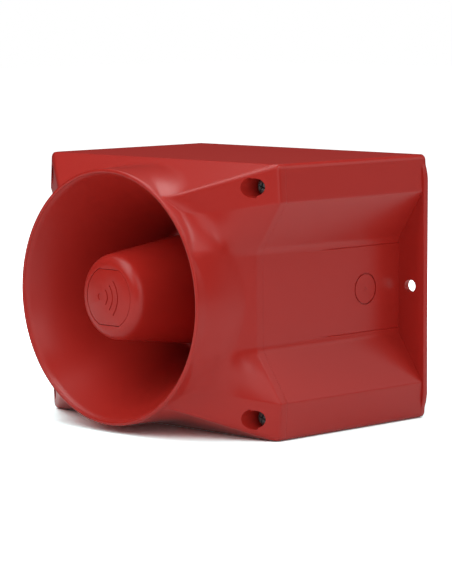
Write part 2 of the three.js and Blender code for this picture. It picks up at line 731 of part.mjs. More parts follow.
rear('rear_housing', rearHousing(), 'red');
rear('housing_gasket', straight(wall + gap, rearStartY, ledgeFrontY - gap)
  .subtract(straight(wall + ledgeWidth, rearStartY - 1, ledgeFrontY)), 'rubber');
corners.forEach(([sx, sz], i) => {
  const x = sx * screwX;
  const z = sz * screwZ;
  const insert = disc(insertOuterRadius, ledgeFrontY, ledgeFrontY + insertLength, 12, x, z)
    .subtract(disc(screwRadius + gap, ledgeFrontY - 1, ledgeFrontY + insertLength + 1, 8, x, z));
  rear(`threaded_insert_${i + 1}`, insert, 'brass');
  const seatY = frontEndY - wellFloor;
  front(`cover_screw_${i + 1}`, screw({
    radius: screwRadius, headRadius: screwHeadRadius, headHeight: screwHeadHeight, length: screwLength,
    headY: seatY - gap - screwHeadHeight, x, z, socket: 2.2, cross: true,
  }), 'darkSteel');
});

front('front_housing', frontHousing(), 'red');
front('horn_cup', hornCup(), 'red');
front('badge_plate', badgePlate(), 'red');
front('tone_tube', toneTube(), 'redInside');
front('cup_screw', screw({
  radius: cupScrewRadius, headRadius: cupScrewHead, headHeight: cupScrewHeadHeight,
  length: tubeFrontY - badgeSeatY + 2, headY: badgeSeatY + gap / 2, socket: 1.2,
}), 'steel');

const coilOuter = coilRadius + coilWall;
const gasketEndY = driverStartY + driverGasketThickness;
front('driver_gasket', ring(driverRadius - 8, tubeBore + 2, driverStartY, gasketEndY, 28), 'rubber');
front('throat_plate', throatPlate(), 'aluminium');
front('phase_plug', phasePlug(), 'blackPlastic');
const chamberInner = coilOuter + surroundWidth + 1;
const chamberEndY = ringY + chamberRingThickness;
front('chamber_ring', drilledRing(driverRadius, chamberInner, ringY, chamberEndY), 'blackPlastic');
front('diaphragm', diaphragm(), 'amber');
front('voice_coil', voiceCoil(), 'copper');
const topPlateEndY = topPlateY + topPlateThickness;
front('top_plate', drilledRing(driverRadius, coilOuter + airGap, topPlateY, topPlateEndY), 'steel');
front('magnet', ring(magnetRadius, magnetBore, magnetY, magnetY + magnetThickness, 28), 'ferrite');
front('pole_piece', polePiece(), 'steel');
front('driver_cover', driverCover(), 'blackPlastic');
driverScrewSpots.forEach(([x, z], i) => {
  const headBack = topPlateEndY + gap;
  const body = screw({
    radius: driverScrewRadius, headRadius: driverScrewHead, headHeight: driverScrewHeadHeight,
    length: headBack - hornFloorY - hornFloorWall + 1.2, socket: 1,
  }).rotate([0, 0, 180]);
  front(`driver_screw_${i + 1}`, moved(body, x, headBack + driverScrewHeadHeight, z), 'steel');
});

corners.forEach(([sx, sz], i) => {
  const x = sx * pillarSpot;
  const z = sz * pillarSpot;
  front(`board_pillar_${i + 1}`, pillar(x, z), 'brass');
  const body = screw(boardScrew).rotate([0, 0, 180]);
  front(`board_screw_${i + 1}`, moved(body, x, boardBackY + gap + boardScrew.headHeight, z), 'steel');
});
front('circuit_board', circuitBoard(), 'laminate');
front('supply_terminals', terminalBlock(terminal.supplyX, 4), 'greenPlastic');
front('control_terminals', terminalBlock(terminal.controlX, 5), 'greenPlastic');
front('tone_switch', switchBody(), 'bluePlastic');
for (let i = 0; i < sliderCount; i++) front(`tone_slider_${i + 1}`, switchSlider(i), 'whitePlastic');
front('volume_control', volumeBody(), 'blackPlastic');
front('volume_knob', volumeKnob(), 'whitePlastic');
front('reservoir_capacitor', capacitor(reservoir), 'blackPlastic');
front('filter_capacitor', capacitor(filter), 'blackPlastic');
front('inductor', inductor(choke), 'copper');
const chipBlock = block(chip.x - chip.half, chip.x + chip.half, onBoardY, onBoardY + chip.height,
  chip.z - chip.half, chip.z + chip.half);
front('controller_chip', chipBlock, 'blackPlastic');
front('heatsink', heatsink(sink), 'aluminium');
const legY = onBoardY + transistor.from;
const faceZ = sink.z - gap;
const transistorBlock = block(sink.x - transistor.half, sink.x + transistor.half, legY,
  legY + transistor.height, faceZ - transistor.thickness, faceZ);
front('power_transistor', transistorBlock, 'blackPlastic');
front('driver_lead_1', lead(-leadSpacing / 2), 'leadRed');
front('driver_lead_2', lead(leadSpacing / 2), 'leadBlack');

export default siren;
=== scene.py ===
# Alarm siren: fine surfaces, finishes, lights and camera round the fixed CAD frame.
import math

import bmesh
import bpy
import numpy as np
from mathutils import Matrix, Vector


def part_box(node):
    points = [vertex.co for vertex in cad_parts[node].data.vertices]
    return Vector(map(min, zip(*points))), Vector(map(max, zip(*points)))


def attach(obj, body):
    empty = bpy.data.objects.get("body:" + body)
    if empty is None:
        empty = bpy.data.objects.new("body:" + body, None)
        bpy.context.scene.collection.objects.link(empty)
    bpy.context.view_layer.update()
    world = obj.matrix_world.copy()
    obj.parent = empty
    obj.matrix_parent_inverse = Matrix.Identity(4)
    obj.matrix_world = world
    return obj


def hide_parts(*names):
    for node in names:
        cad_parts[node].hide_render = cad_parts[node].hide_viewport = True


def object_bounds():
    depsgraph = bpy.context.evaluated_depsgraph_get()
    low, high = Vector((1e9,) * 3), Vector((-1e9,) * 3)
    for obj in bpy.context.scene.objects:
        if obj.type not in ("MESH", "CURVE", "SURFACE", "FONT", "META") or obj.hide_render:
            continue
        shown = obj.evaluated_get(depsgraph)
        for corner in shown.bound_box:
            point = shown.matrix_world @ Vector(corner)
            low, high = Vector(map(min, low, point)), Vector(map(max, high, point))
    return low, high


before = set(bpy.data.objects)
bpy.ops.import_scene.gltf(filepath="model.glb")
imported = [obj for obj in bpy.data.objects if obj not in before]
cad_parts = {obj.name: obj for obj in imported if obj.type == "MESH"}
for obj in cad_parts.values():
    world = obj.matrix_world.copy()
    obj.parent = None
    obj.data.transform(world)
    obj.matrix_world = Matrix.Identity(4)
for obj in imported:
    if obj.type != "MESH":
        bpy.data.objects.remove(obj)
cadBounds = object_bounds()
print("frame loaded:", len(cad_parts), "nodes")

mm = 0.001
turn = 2 * math.pi
corners = [(1, 1), (-1, 1), (-1, -1), (1, -1)]  # top right, top left, bottom left, bottom right


def boxMm(node):
    low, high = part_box(node)
    return np.array(low) / mm, np.array(high) / mm


def middleMm(node):
    low, high = boxMm(node)
    return (low + high) / 2


def lerp(a, b, t):
    return a + (b - a) * t


# A mesh from points in millimetres and arrays of vertex numbers, one array for each number of corners.
# It is turned the right way round when its signed volume comes out negative.
def meshObject(name, points, faceSets, sharpDegrees=30):
    points = np.asarray(points, float)
    faceSets = [np.asarray(faces) for faces in faceSets]
    if signedVolume(points, faceSets) < 0:
        faceSets = [faces[:, ::-1] for faces in faceSets]
    loops = np.concatenate([faces.ravel() for faces in faceSets]).astype(np.int32)
    counts = np.concatenate([np.full(len(faces), faces.shape[1]) for faces in faceSets])
    starts = np.concatenate([[0], np.cumsum(counts)[:-1]]).astype(np.int32)
    mesh = bpy.data.meshes.new(name)
    mesh.vertices.add(len(points))
    mesh.vertices.foreach_set("co", (points * mm).ravel().astype(np.float32))
    mesh.loops.add(len(loops))
    mesh.loops.foreach_set("vertex_index", loops)
    mesh.polygons.add(len(counts))
    mesh.polygons.foreach_set("loop_start", starts)
    mesh.update(calc_edges=True)
    mesh.validate()
    obj = bpy.data.objects.new(name, mesh)
    bpy.context.scene.collection.objects.link(obj)
    return smoothByAngle(obj, sharpDegrees)


# Six times the volume: each face is a fan of triangles, and each triangle adds a . (b x c).
def signedVolume(points, faceSets):
    total = 0.0
    for faces in faceSets:
        for k in range(1, faces.shape[1] - 1):
            a, b, c = points[faces[:, 0]], points[faces[:, k]], points[faces[:, k + 1]]
            total += float(np.sum(a * np.cross(b, c)))
    return total


def smoothByAngle(obj, degrees=30):
    obj.data.shade_smooth()
    obj.data.set_sharp_from_angle(angle=math.radians(degrees))
    return obj


# Quads between neighbours of a rows by cols grid of points, going round where it is closed.
def gridFaces(rows, cols, closedRows):
    r, c = np.meshgrid(np.arange(rows if closedRows else rows - 1), np.arange(cols), indexing="ij")
    r2, c2 = (r + 1) % rows, (c + 1) % cols
    square = [r * cols + c, r * cols + c2, r2 * cols + c2, r2 * cols + c]
    return np.stack([n.ravel() for n in square], axis=1)


# Rings of equal point count. Closed, the last joins the first; open, a fan closes each end at the point given
# or at the ring's middle.
def ringSolid(name, rings, closed=False, ends=None, sharpDegrees=30):
    rings = np.asarray(rings, float)
    rows, cols = rings.shape[:2]
    points = rings.reshape(-1, 3)
    sets = [gridFaces(rows, cols, closed)]
    if not closed:
        middles = np.array([rings[0].mean(axis=0), rings[-1].mean(axis=0)] if ends is None else ends)
        points = np.vstack([points, middles])
        first = np.arange(cols)
        last = (rows - 1) * cols + first
        sets.append(np.stack([np.full(cols, rows * cols), np.roll(first, -1), first], axis=1))
        sets.append(np.stack([np.full(cols, rows * cols + 1), last, np.roll(last, -1)], axis=1))
    return meshObject(name, points, sets, sharpDegrees)


# A profile of [radius, y] turned once round the line through (x, z) along Y. One that starts and ends on the
# axis is closed by fans, and any other closes on itself.
def lathe(name, profile, x=0.0, z=0.0, segments=96, wobble=None):
    profile = np.asarray(profile, float)
    closed = profile[0, 0] > 1e-6
    inner = profile if closed else profile[1:-1]
    angle = np.arange(segments)[None, :] * turn / segments
    r = inner[:, :1] * np.ones_like(angle)
    y = inner[:, 1:] * np.ones_like(angle)
    if wobble is not None:
        r = r + wobble(r, y, angle)
    rings = np.stack([x + r * np.cos(angle), y, z + r * np.sin(angle)], axis=-1)
    ends = None if closed else [[x, profile[0, 1], z], [x, profile[-1, 1], z]]
    return ringSolid(name, rings, closed, ends)


# A polyline whose inner corners become arcs: a conic from one tangent point to the other, its weight the sine
# of half the corner's angle, which makes it a true circle.
def softPath(points, radius, steps=4):
    points = np.asarray(points, float)
    radii = np.broadcast_to(np.asarray(radius, float), len(points) - 2)
    path = [points[:1]]
    for i in range(1, len(points) - 1):
        before, after = points[i - 1] - points[i], points[i + 1] - points[i]
        a, b = np.linalg.norm(before), np.linalg.norm(after)
        half = 0.5 * math.acos(float(np.clip(before @ after / (a * b), -1, 1)))
        reach = min(radii[i - 1] / max(math.tan(half), 1e-6), 0.46 * a, 0.46 * b)
        if reach < 1e-3 or half > 1.5:
            path.append(points[i:i + 1])
            continue
        s = np.linspace(0, 1, steps + 1)[:, None]
        w = math.sin(half)
        start, end = points[i] + before / a * reach, points[i] + after / b * reach
        top = (1 - s) ** 2 * start + 2 * w * s * (1 - s) * points[i] + s ** 2 * end
        path.append(top / ((1 - s) ** 2 + 2 * w * s * (1 - s) + s ** 2))
    path.append(points[-1:])
    return np.vstack(path)


def ringProfile(inner, outer, y0, y1):
    return [(inner, y0), (outer, y0), (outer, y1), (inner, y1)]


def softLathe(name, profile, radius=0.4, x=0.0, z=0.0, segments=96, steps=3, wobble=None):
    profile = np.asarray(profile, float)
    if profile[0, 0] < 1e-6:
        return lathe(name, softPath(profile, radius, steps), x, z, segments, wobble)
    middle = (profile[:1] + profile[-1:]) / 2
    path = softPath(np.vstack([middle, profile, middle]), radius, steps)[:-1]
    return lathe(name, path, x, z, segments, wobble)


# An outline of [x, z] points carried along Y through levels of [y, inset], each inset towards the middle.
def prism(name, outline, levels, sharpDegrees=30):
    outline = np.asarray(outline, float)
    centre = (outline.min(axis=0) + outline.max(axis=0)) / 2
    size = (outline.max(axis=0) - outline.min(axis=0)) / 2
    rings = []
    for y, inset in levels:
        flat = centre + (outline - centre) * (1 - inset / size)
        rings.append(np.stack([flat[:, 0], np.full(len(flat), y), flat[:, 1]], axis=-1))
    return ringSolid(name, rings, sharpDegrees=sharpDegrees)


def bevelled(y0, y1, bevel):
    k = 1 - math.sqrt(0.5)
    return [(y0, bevel), (y0 + k * bevel, k * bevel), (y0 + bevel, 0), (y1 - bevel, 0),
            (y1 - k * bevel, k * bevel), (y1, bevel)]


# Four quarter circles, one at each corner of a rectangle.
def roundRect(width, height, radius, x=0.0, z=0.0, steps=5):
    parts = []
    for k, (sx, sz) in enumerate(corners):
        a = np.linspace(0, math.pi / 2, steps + 1) + k * math.pi / 2
        cx, cz = x + sx * (width / 2 - radius), z + sz * (height / 2 - radius)
        parts.append(np.stack([cx + radius * np.cos(a), cz + radius * np.sin(a)], axis=-1))
    return np.vstack(parts)


def circle(radius, x=0.0, z=0.0, segments=48):
    a = np.arange(segments) * turn / segments
    return np.stack([x + radius * np.cos(a), z + radius * np.sin(a)], axis=-1)


def bevelBlock(name, low, high, bevel=0.3, radius=0.5):
    width, height = high[0] - low[0], high[2] - low[2]
    outline = roundRect(width, height, min(radius, width / 3, height / 3), (low[0] + high[0]) / 2,
                        (low[2] + high[2]) / 2, 3)
    return prism(name, outline, bevelled(low[1], high[1], bevel))


def block(low, high):
    return bevelBlock("cutter", np.asarray(low, float), np.asarray(high, float), 0.001, 0.002)


def spun(obj, degrees, axis="Y", x=0.0, y=0.0, z=0.0):
    centre = Vector((x, y, z)) * mm
    turned = Matrix.Translation(centre) @ Matrix.Rotation(math.radians(degrees), 4, axis)
    obj.data.transform(turned @ Matrix.Translation(-centre))
    return obj


# Separate closed shells kept in one mesh. Their faces are gathered by their number of corners.
def joinParts(parts, name=None):
    points, sets, offset = [], {}, 0
    for part in parts:
        mesh = part.data
        flat = np.zeros(len(mesh.vertices) * 3, np.float32)
        mesh.vertices.foreach_get("co", flat)
        points.append(flat.reshape(-1, 3) / mm)
        starts, counts = np.zeros((2, len(mesh.polygons)), np.int32)
        mesh.polygons.foreach_get("loop_start", starts)
        mesh.polygons.foreach_get("loop_total", counts)
        vertices = np.zeros(len(mesh.loops), np.int32)
        mesh.loops.foreach_get("vertex_index", vertices)
        for count in dict.fromkeys(counts.tolist()):
            loops = starts[counts == count][:, None] + np.arange(count)
            sets.setdefault(count, []).append(vertices[loops] + offset)
        offset += len(mesh.vertices)
    name = name or parts[0].name
    for part in parts:
        bpy.data.objects.remove(part)
    return meshObject(name, np.vstack(points), [np.vstack(faces) for faces in sets.values()])


# The exact boolean, applied at once: "UNION" joins the others to obj and "DIFFERENCE" cuts them out of it.
def combine(obj, others, operation="DIFFERENCE", sharpDegrees=30):
    for other in others:
        modifier = obj.modifiers.new("combine", "BOOLEAN")
        modifier.operation = operation
        modifier.solver = "EXACT"
        modifier.object = other
        bpy.context.view_layer.update()
        graph = bpy.context.evaluated_depsgraph_get()
        mesh = bpy.data.meshes.new_from_object(obj.evaluated_get(graph))
        obj.modifiers.clear()
        obj.data = mesh
        bpy.data.objects.remove(other)
    if not obj.data.polygons:
        raise ValueError(obj.name + " came out of its cut empty")
    return smoothByAngle(obj, sharpDegrees)


def combineAll(obj, parts, operation="DIFFERENCE"):
    return combine(obj, [joinParts(parts)], operation)


def holeCutter(x, z, radius, y0, y1, segments=24):
    return prism("cutter", circle(radius, x, z, segments), [(y0, 0), (y1, 0)])


def drill(obj, places, radius, y0, y1):
    return combineAll(obj, [holeCutter(x, z, radius, y0, y1) for x, z in places])


def weld(obj, distance=0.002):
    grid = bmesh.new()
    grid.from_mesh(obj.data)
    bmesh.ops.remove_doubles(grid, verts=grid.verts, dist=distance * mm)
    bmesh.ops.dissolve_degenerate(grid, dist=1e-7, edges=grid.edges)
    grid.to_mesh(obj.data)
    grid.free()
    return obj


def place(obj, body, finish, *nodes):
    obj.data.materials.clear()
    obj.data.materials.append(finishes[finish])
    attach(obj, body)
    if nodes:
        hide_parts(*nodes)
    return obj


# Node groups: a group gives only colours, roughness and heights that change over the surface.
def newGroup(name, inputs, outputs):
    group = bpy.data.node_groups.new(name, "ShaderNodeTree")
    for label, kind, value in inputs:
        socket = group.interface.new_socket(label, in_out="INPUT", socket_type=kind)
        socket.default_value = value
    for label, kind in outputs:
        group.interface.new_socket(label, in_out="OUTPUT", socket_type=kind)
    nodes = group.nodes
    return group, nodes, group.links, nodes.new("NodeGroupInput"), nodes.new("NodeGroupOutput")


def feed(tree, socket, value):
    # a socket takes another node's output or a plain value
    if isinstance(value, bpy.types.NodeSocket):
        tree.links.new(value, socket)
    else:
        socket.default_value = value


def mathNode(tree, operation, a, b):
    node = tree.nodes.new("ShaderNodeMath")
    node.operation = operation
    feed(tree, node.inputs[0], a)
    feed(tree, node.inputs[1], b)
    return node.outputs[0]


def mixColour(tree, factor, a, b, blend="MIX"):
    node = tree.nodes.new("ShaderNodeMix")
    node.data_type = "RGBA"
    node.blend_type = blend
    for socket, value in ((node.inputs[0], factor), (node.inputs[6], a), (node.inputs[7], b)):
        feed(tree, socket, value)
    return node.outputs[2]


def noise(tree, vector, scale, detail=2.0, rough=0.5):
    node = tree.nodes.new("ShaderNodeTexNoise")
    node.inputs["Detail"].default_value = detail
    node.inputs["Roughness"].default_value = rough
    feed(tree, node.inputs["Scale"], scale)
    feed(tree, node.inputs["Vector"], vector)
    return node.outputs[0]


def ramp(tree, value, low, high):
    # rises smoothly from 0 at low to 1 at high
    node = tree.nodes.new("ShaderNodeMapRange")
    node.interpolation_type = "SMOOTHSTEP"
    node.inputs["From Min"].default_value = low
    node.inputs["From Max"].default_value = high
    tree.links.new(value, node.inputs["Value"])
    return node.outputs[0]


# Moulded skin: slow drifts of tone, a fine grain, and faint smears in the gloss.
def mouldedSkin():
    group, _, links, given, out = newGroup("mouldedSkin", [
        ("Vector", "NodeSocketVector", (0, 0, 0)), ("Colour", "NodeSocketColor", (0.5, 0.5, 0.5, 1)),
        ("Drift", "NodeSocketFloat", 0.08), ("Roughness", "NodeSocketFloat", 0.3),
        ("Smear", "NodeSocketFloat", 0.06), ("Grain Scale", "NodeSocketFloat", 900.0),
        ("Grain", "NodeSocketFloat", 1.0),
    ], [("Colour", "NodeSocketColor"), ("Roughness", "NodeSocketFloat"), ("Height", "NodeSocketFloat")])
    vector = given.outputs["Vector"]
    slow = noise(group, vector, 22.0, 3.0)
    fine = noise(group, vector, given.outputs["Grain Scale"], 2.0)
    smears = noise(group, vector, 75.0, 5.0, 0.62)
    lift = mathNode(group, "MULTIPLY", mathNode(group, "SUBTRACT", slow, 0.5), given.outputs["Drift"])
    tone = mathNode(group, "ADD", lift, 0.5)
    dark = mixColour(group, 1.0, given.outputs["Colour"], (0.55, 0.55, 0.55, 1), "MULTIPLY")
    light = mixColour(group, 1.0, given.outputs["Colour"], (1.45, 1.45, 1.45, 1), "MULTIPLY")
    links.new(mixColour(group, tone, dark, light), out.inputs["Colour"])
    swing = mathNode(group, "MULTIPLY", mathNode(group, "SUBTRACT", smears, 0.5), given.outputs["Smear"])
    links.new(mathNode(group, "ADD", swing, given.outputs["Roughness"]), out.inputs["Roughness"])
    links.new(mathNode(group, "MULTIPLY", fine, given.outputs["Grain"]), out.inputs["Height"])
    return group


# Metal skin: a tone drift, turning marks as rings round the Y axis or brushing along X, and dull patches.
def metalSkin():
    group, nodes, links, given, out = newGroup("metalSkin", [
        ("Vector", "NodeSocketVector", (0, 0, 0)), ("Colour", "NodeSocketColor", (0.5, 0.5, 0.5, 1)),
        ("Stain", "NodeSocketColor", (0.2, 0.2, 0.2, 1)), ("Staining", "NodeSocketFloat", 0.3),
        ("Roughness", "NodeSocketFloat", 0.3), ("Marks", "NodeSocketFloat", 0.5),
        ("Mark Stretch", "NodeSocketVector", (60, 2600, 2600)),
    ], [("Colour", "NodeSocketColor"), ("Roughness", "NodeSocketFloat"), ("Height", "NodeSocketFloat")])
    vector = given.outputs["Vector"]
    stretch = nodes.new("ShaderNodeVectorMath")
    stretch.operation = "MULTIPLY"
    links.new(vector, stretch.inputs[0])
    links.new(given.outputs["Mark Stretch"], stretch.inputs[1])
    marks = noise(group, stretch.outputs[0], 1.0, 2.0)
    patches = ramp(group, noise(group, vector, 90.0, 5.0, 0.6), 0.42, 0.72)
    stained = mathNode(group, "MULTIPLY", patches, given.outputs["Staining"])
    colour = mixColour(group, stained, given.outputs["Colour"], given.outputs["Stain"])
    links.new(colour, out.inputs["Colour"])
    duller = mathNode(group, "MULTIPLY", stained, 0.35)
    ripple = mathNode(group, "MULTIPLY", mathNode(group, "SUBTRACT", marks, 0.5), 0.14)
    links.new(mathNode(group, "ADD", mathNode(group, "ADD", given.outputs["Roughness"], duller), ripple),
              out.inputs["Roughness"])
    links.new(mathNode(group, "MULTIPLY", marks, given.outputs["Marks"]), out.inputs["Height"])
    return group


groups = {"moulded": mouldedSkin(), "metal": metalSkin()}


def linear(colour):
    # a display colour, 0 to 255, as scene-linear values
    share = np.asarray(colour, float) / 255
    return tuple(np.where(share <= 0.04045, share / 12.92, ((share + 0.055) / 1.055) ** 2.4)) + (1.0,)


bumpDepth = 0.00005  # the whole height of every grain, in metres


def newMaterial(name, bump, **sockets):
    material = bpy.data.materials.new(name)
    material.use_nodes = True
    tree = material.node_tree
    shader = tree.nodes["Principled BSDF"]
    for label, value in sockets.items():
        shader.inputs[label.replace("_", " ")].default_value = value
    bumpNode = tree.nodes.new("ShaderNodeBump")
    bumpNode.inputs["Strength"].default_value = bump
    bumpNode.inputs["Distance"].default_value = bumpDepth
    tree.links.new(bumpNode.outputs[0], shader.inputs["Normal"])
    place3d = tree.nodes.new("ShaderNodeTexCoord")
    return material, tree, shader, bumpNode, place3d.outputs["Object"]


def useGroup(tree, group, vector, **values):
    node = tree.nodes.new("ShaderNodeGroup")
    node.node_tree = groups[group]
    tree.links.new(vector, node.inputs["Vector"])
    for label, value in values.items():
        node.inputs[label.replace("_", " ")].default_value = value
    return node


def wearSkin(tree, skin, shader, bumpNode):
    tree.links.new(skin.outputs["Colour"], shader.inputs["Base Color"])
    tree.links.new(skin.outputs["Roughness"], shader.inputs["Roughness"])
    tree.links.new(skin.outputs["Height"], bumpNode.inputs["Height"])


def plastic(name, colour, roughness=0.35, drift=0.08, smear=0.06, grain=0.5, grainScale=900.0, bump=0.15,
            **sockets):
    material, tree, shader, bumpNode, vector = newMaterial(name, bump, **sockets)
    skin = useGroup(tree, "moulded", vector, Colour=colour, Drift=drift, Roughness=roughness, Smear=smear,
                    Grain=grain, Grain_Scale=grainScale)
    wearSkin(tree, skin, shader, bumpNode)
    return material


def metal(name, colour, roughness, stain, staining, marks=0.5, stretch=(60, 2600, 2600), bump=0.12,
          metallic=1.0):
    material, tree, shader, bumpNode, vector = newMaterial(name, bump, Metallic=metallic)
    skin = useGroup(tree, "metal", vector, Colour=colour, Stain=stain, Staining=staining, Roughness=roughness,
                    Marks=marks, Mark_Stretch=stretch)
    wearSkin(tree, skin, shader, bumpNode)
    return material


# Solder mask with fine tracks under it: two turned brick patterns give the runs, thin and a shade lighter.
def boardMaterial():
    material, tree, shader, bumpNode, vector = newMaterial("board_laminate", 0.3)
    skin = useGroup(tree, "moulded", vector, Colour=linear((34, 92, 52)), Drift=0.1, Roughness=0.3, Smear=0.1,
                    Grain=0.3, Grain_Scale=2500.0)
    swap = tree.nodes.new("ShaderNodeSeparateXYZ")
    tree.links.new(vector, swap.inputs[0])
    masks = []
    for first, second, scale in ((0, 2, 260.0), (2, 0, 190.0)):
        flat = tree.nodes.new("ShaderNodeCombineXYZ")
        tree.links.new(swap.outputs[first], flat.inputs[0])
        tree.links.new(swap.outputs[second], flat.inputs[1])
        brick = tree.nodes.new("ShaderNodeTexBrick")
        brick.inputs["Scale"].default_value = scale
        brick.inputs["Mortar Size"].default_value = 0.05
        brick.inputs["Brick Width"].default_value = 2.6
        brick.inputs["Row Height"].default_value = 0.42
        tree.links.new(flat.outputs[0], brick.inputs["Vector"])
        masks.append(brick.outputs["Fac"])
    tracks = mathNode(tree, "MAXIMUM", masks[0], masks[1])
    colour = mixColour(tree, tracks, skin.outputs["Colour"], linear((58, 128, 74)))
    tree.links.new(colour, shader.inputs["Base Color"])
    tree.links.new(skin.outputs["Roughness"], shader.inputs["Roughness"])
    tree.links.new(mathNode(tree, "MULTIPLY", tracks, 0.6), bumpNode.inputs["Height"])
    return material


red = (0.455, 0.022, 0.0155, 1)
finishes = {
    "red_plastic": plastic("red_plastic", red, 0.3, drift=0.03, smear=0.04, grain=0.3, grainScale=140.0,
                           bump=0.01, Specular_IOR_Level=0.38),
    "red_inside": plastic("red_inside", (0.36, 0.016, 0.012, 1), 0.36, drift=0.05, grain=0.4, bump=0.06),
    "gasket_rubber": plastic("gasket_rubber", (0.012, 0.012, 0.013, 1), 0.72, drift=0.2, grain=1.0,
                             grainScale=1600.0, bump=0.4),
    "brass": metal("brass", linear((196, 158, 86)), 0.26, linear((110, 78, 44)), 0.4),
    "black_steel": metal("black_steel", linear((104, 110, 110)), 0.5, linear((60, 60, 58)), 0.3,
                         metallic=0.35, bump=0.1),
    "zinc_steel": metal("zinc_steel", linear((178, 182, 184)), 0.3, linear((120, 116, 106)), 0.35),
    "cast_aluminium": metal("cast_aluminium", linear((172, 174, 176)), 0.44, linear((120, 122, 124)), 0.35,
                            stretch=(900, 900, 900), bump=0.35),
    "heatsink_aluminium": metal("heatsink_aluminium", linear((44, 45, 48)), 0.42, linear((70, 70, 72)), 0.3,
                                stretch=(2600, 60, 2600)),
    "black_plastic": plastic("black_plastic", (0.016, 0.016, 0.018, 1), 0.42, drift=0.2, grain=0.8,
                             grainScale=1300.0, bump=0.3),
    "capacitor_sleeve": plastic("capacitor_sleeve", (0.012, 0.018, 0.05, 1), 0.26, drift=0.2, grain=0.3),
    "diaphragm_film": plastic("diaphragm_film", linear((178, 122, 58)), 0.3, drift=0.25, smear=0.15),
    "copper_wire": metal("copper_wire", linear((188, 108, 62)), 0.3, linear((96, 46, 26)), 0.4),
    "ferrite": plastic("ferrite", (0.03, 0.03, 0.033, 1), 0.62, drift=0.3, grain=1.4, grainScale=2200.0,
                       bump=0.5),
    "board_laminate": boardMaterial(),
    "terminal_green": plastic("terminal_green", linear((52, 132, 74)), 0.4, drift=0.1),
    "switch_blue": plastic("switch_blue", linear((38, 72, 150)), 0.36, drift=0.1),
    "white_plastic": plastic("white_plastic", linear((222, 218, 205)), 0.38, drift=0.06),
    "lead_red": plastic("lead_red", linear((170, 34, 28)), 0.5, drift=0.12, grain=0.7),
    "lead_black": plastic("lead_black", (0.012, 0.012, 0.013, 1), 0.5, drift=0.2, grain=0.7),
}
print("finishes made:", len(finishes))


# The housing's outer shape. Both halves take it from here.
frontLow, frontHigh = boxMm("front_housing")
rearLow, rearHigh = boxMm("rear_housing")
shape = {
    "rimInset": 4.6,          # rim radius below half the height
    "floorStandout": 3.6,     # side pocket's floor outside the rim radius
    "pocketFoot": 30.0,       # half heights of the pocket at its floor and at its mouth
    "pocketMouth": 60.0,
    "skirt": 5.57,            # straight part of the front half behind the ridge
    "hornFloorWall": 4.0,
    "wall": 3.0,
    "bellTaper": 1.1,         # how much the bell widens from the rim to the ridge
    "valley": 60.0,           # width of the soft valley between bell and corner wedges, times t^2 (1 - t)
    "creaseAngle": 55.4,      # degrees up from X, where the corner crease meets the rim
    "creaseSink": 4.4,        # the crease's end below the rim's surface
    "cornerFace": 11.0,       # height of the corner's side face where it reaches the rim
    "floorSink": 11.5,        # pocket floor's fall over the front slope
    "foldSoftness": 0.8,
    "cornerRound": (3.3, 1.5),  # the long corner's rounding at the ridge and at the rim
    "ribRound": 0.8,
    "footRound": 2.7,
    "sideTilt": (0.5, -0.9),  # side face against a true vertical, at the pocket and at the corner
    "grooveAt": 26.9,
    "grooveHalf": 0.35,
    "grooveDepth": 0.4,
    "grooveFade": (-98.0, -62.0),
    "ledge": 4.0,
    "ledgeDepth": 3.0,
}
halfHeight, halfWidth = frontHigh[2], frontHigh[0]
rimY, partingY = frontLow[1], rearLow[1] - 0.15
partingFront, partingRear = partingY - 0.03, partingY + 0.03
ridgeY = partingFront - shape["skirt"]
proud = ridgeY - rimY
rimRadius = halfHeight - shape["rimInset"]
floorX = rimRadius + shape["floorStandout"]
creaseAngle = math.radians(shape["creaseAngle"])
creaseAt = (rimRadius - shape["creaseSink"]) * np.array([math.cos(creaseAngle), math.sin(creaseAngle)])


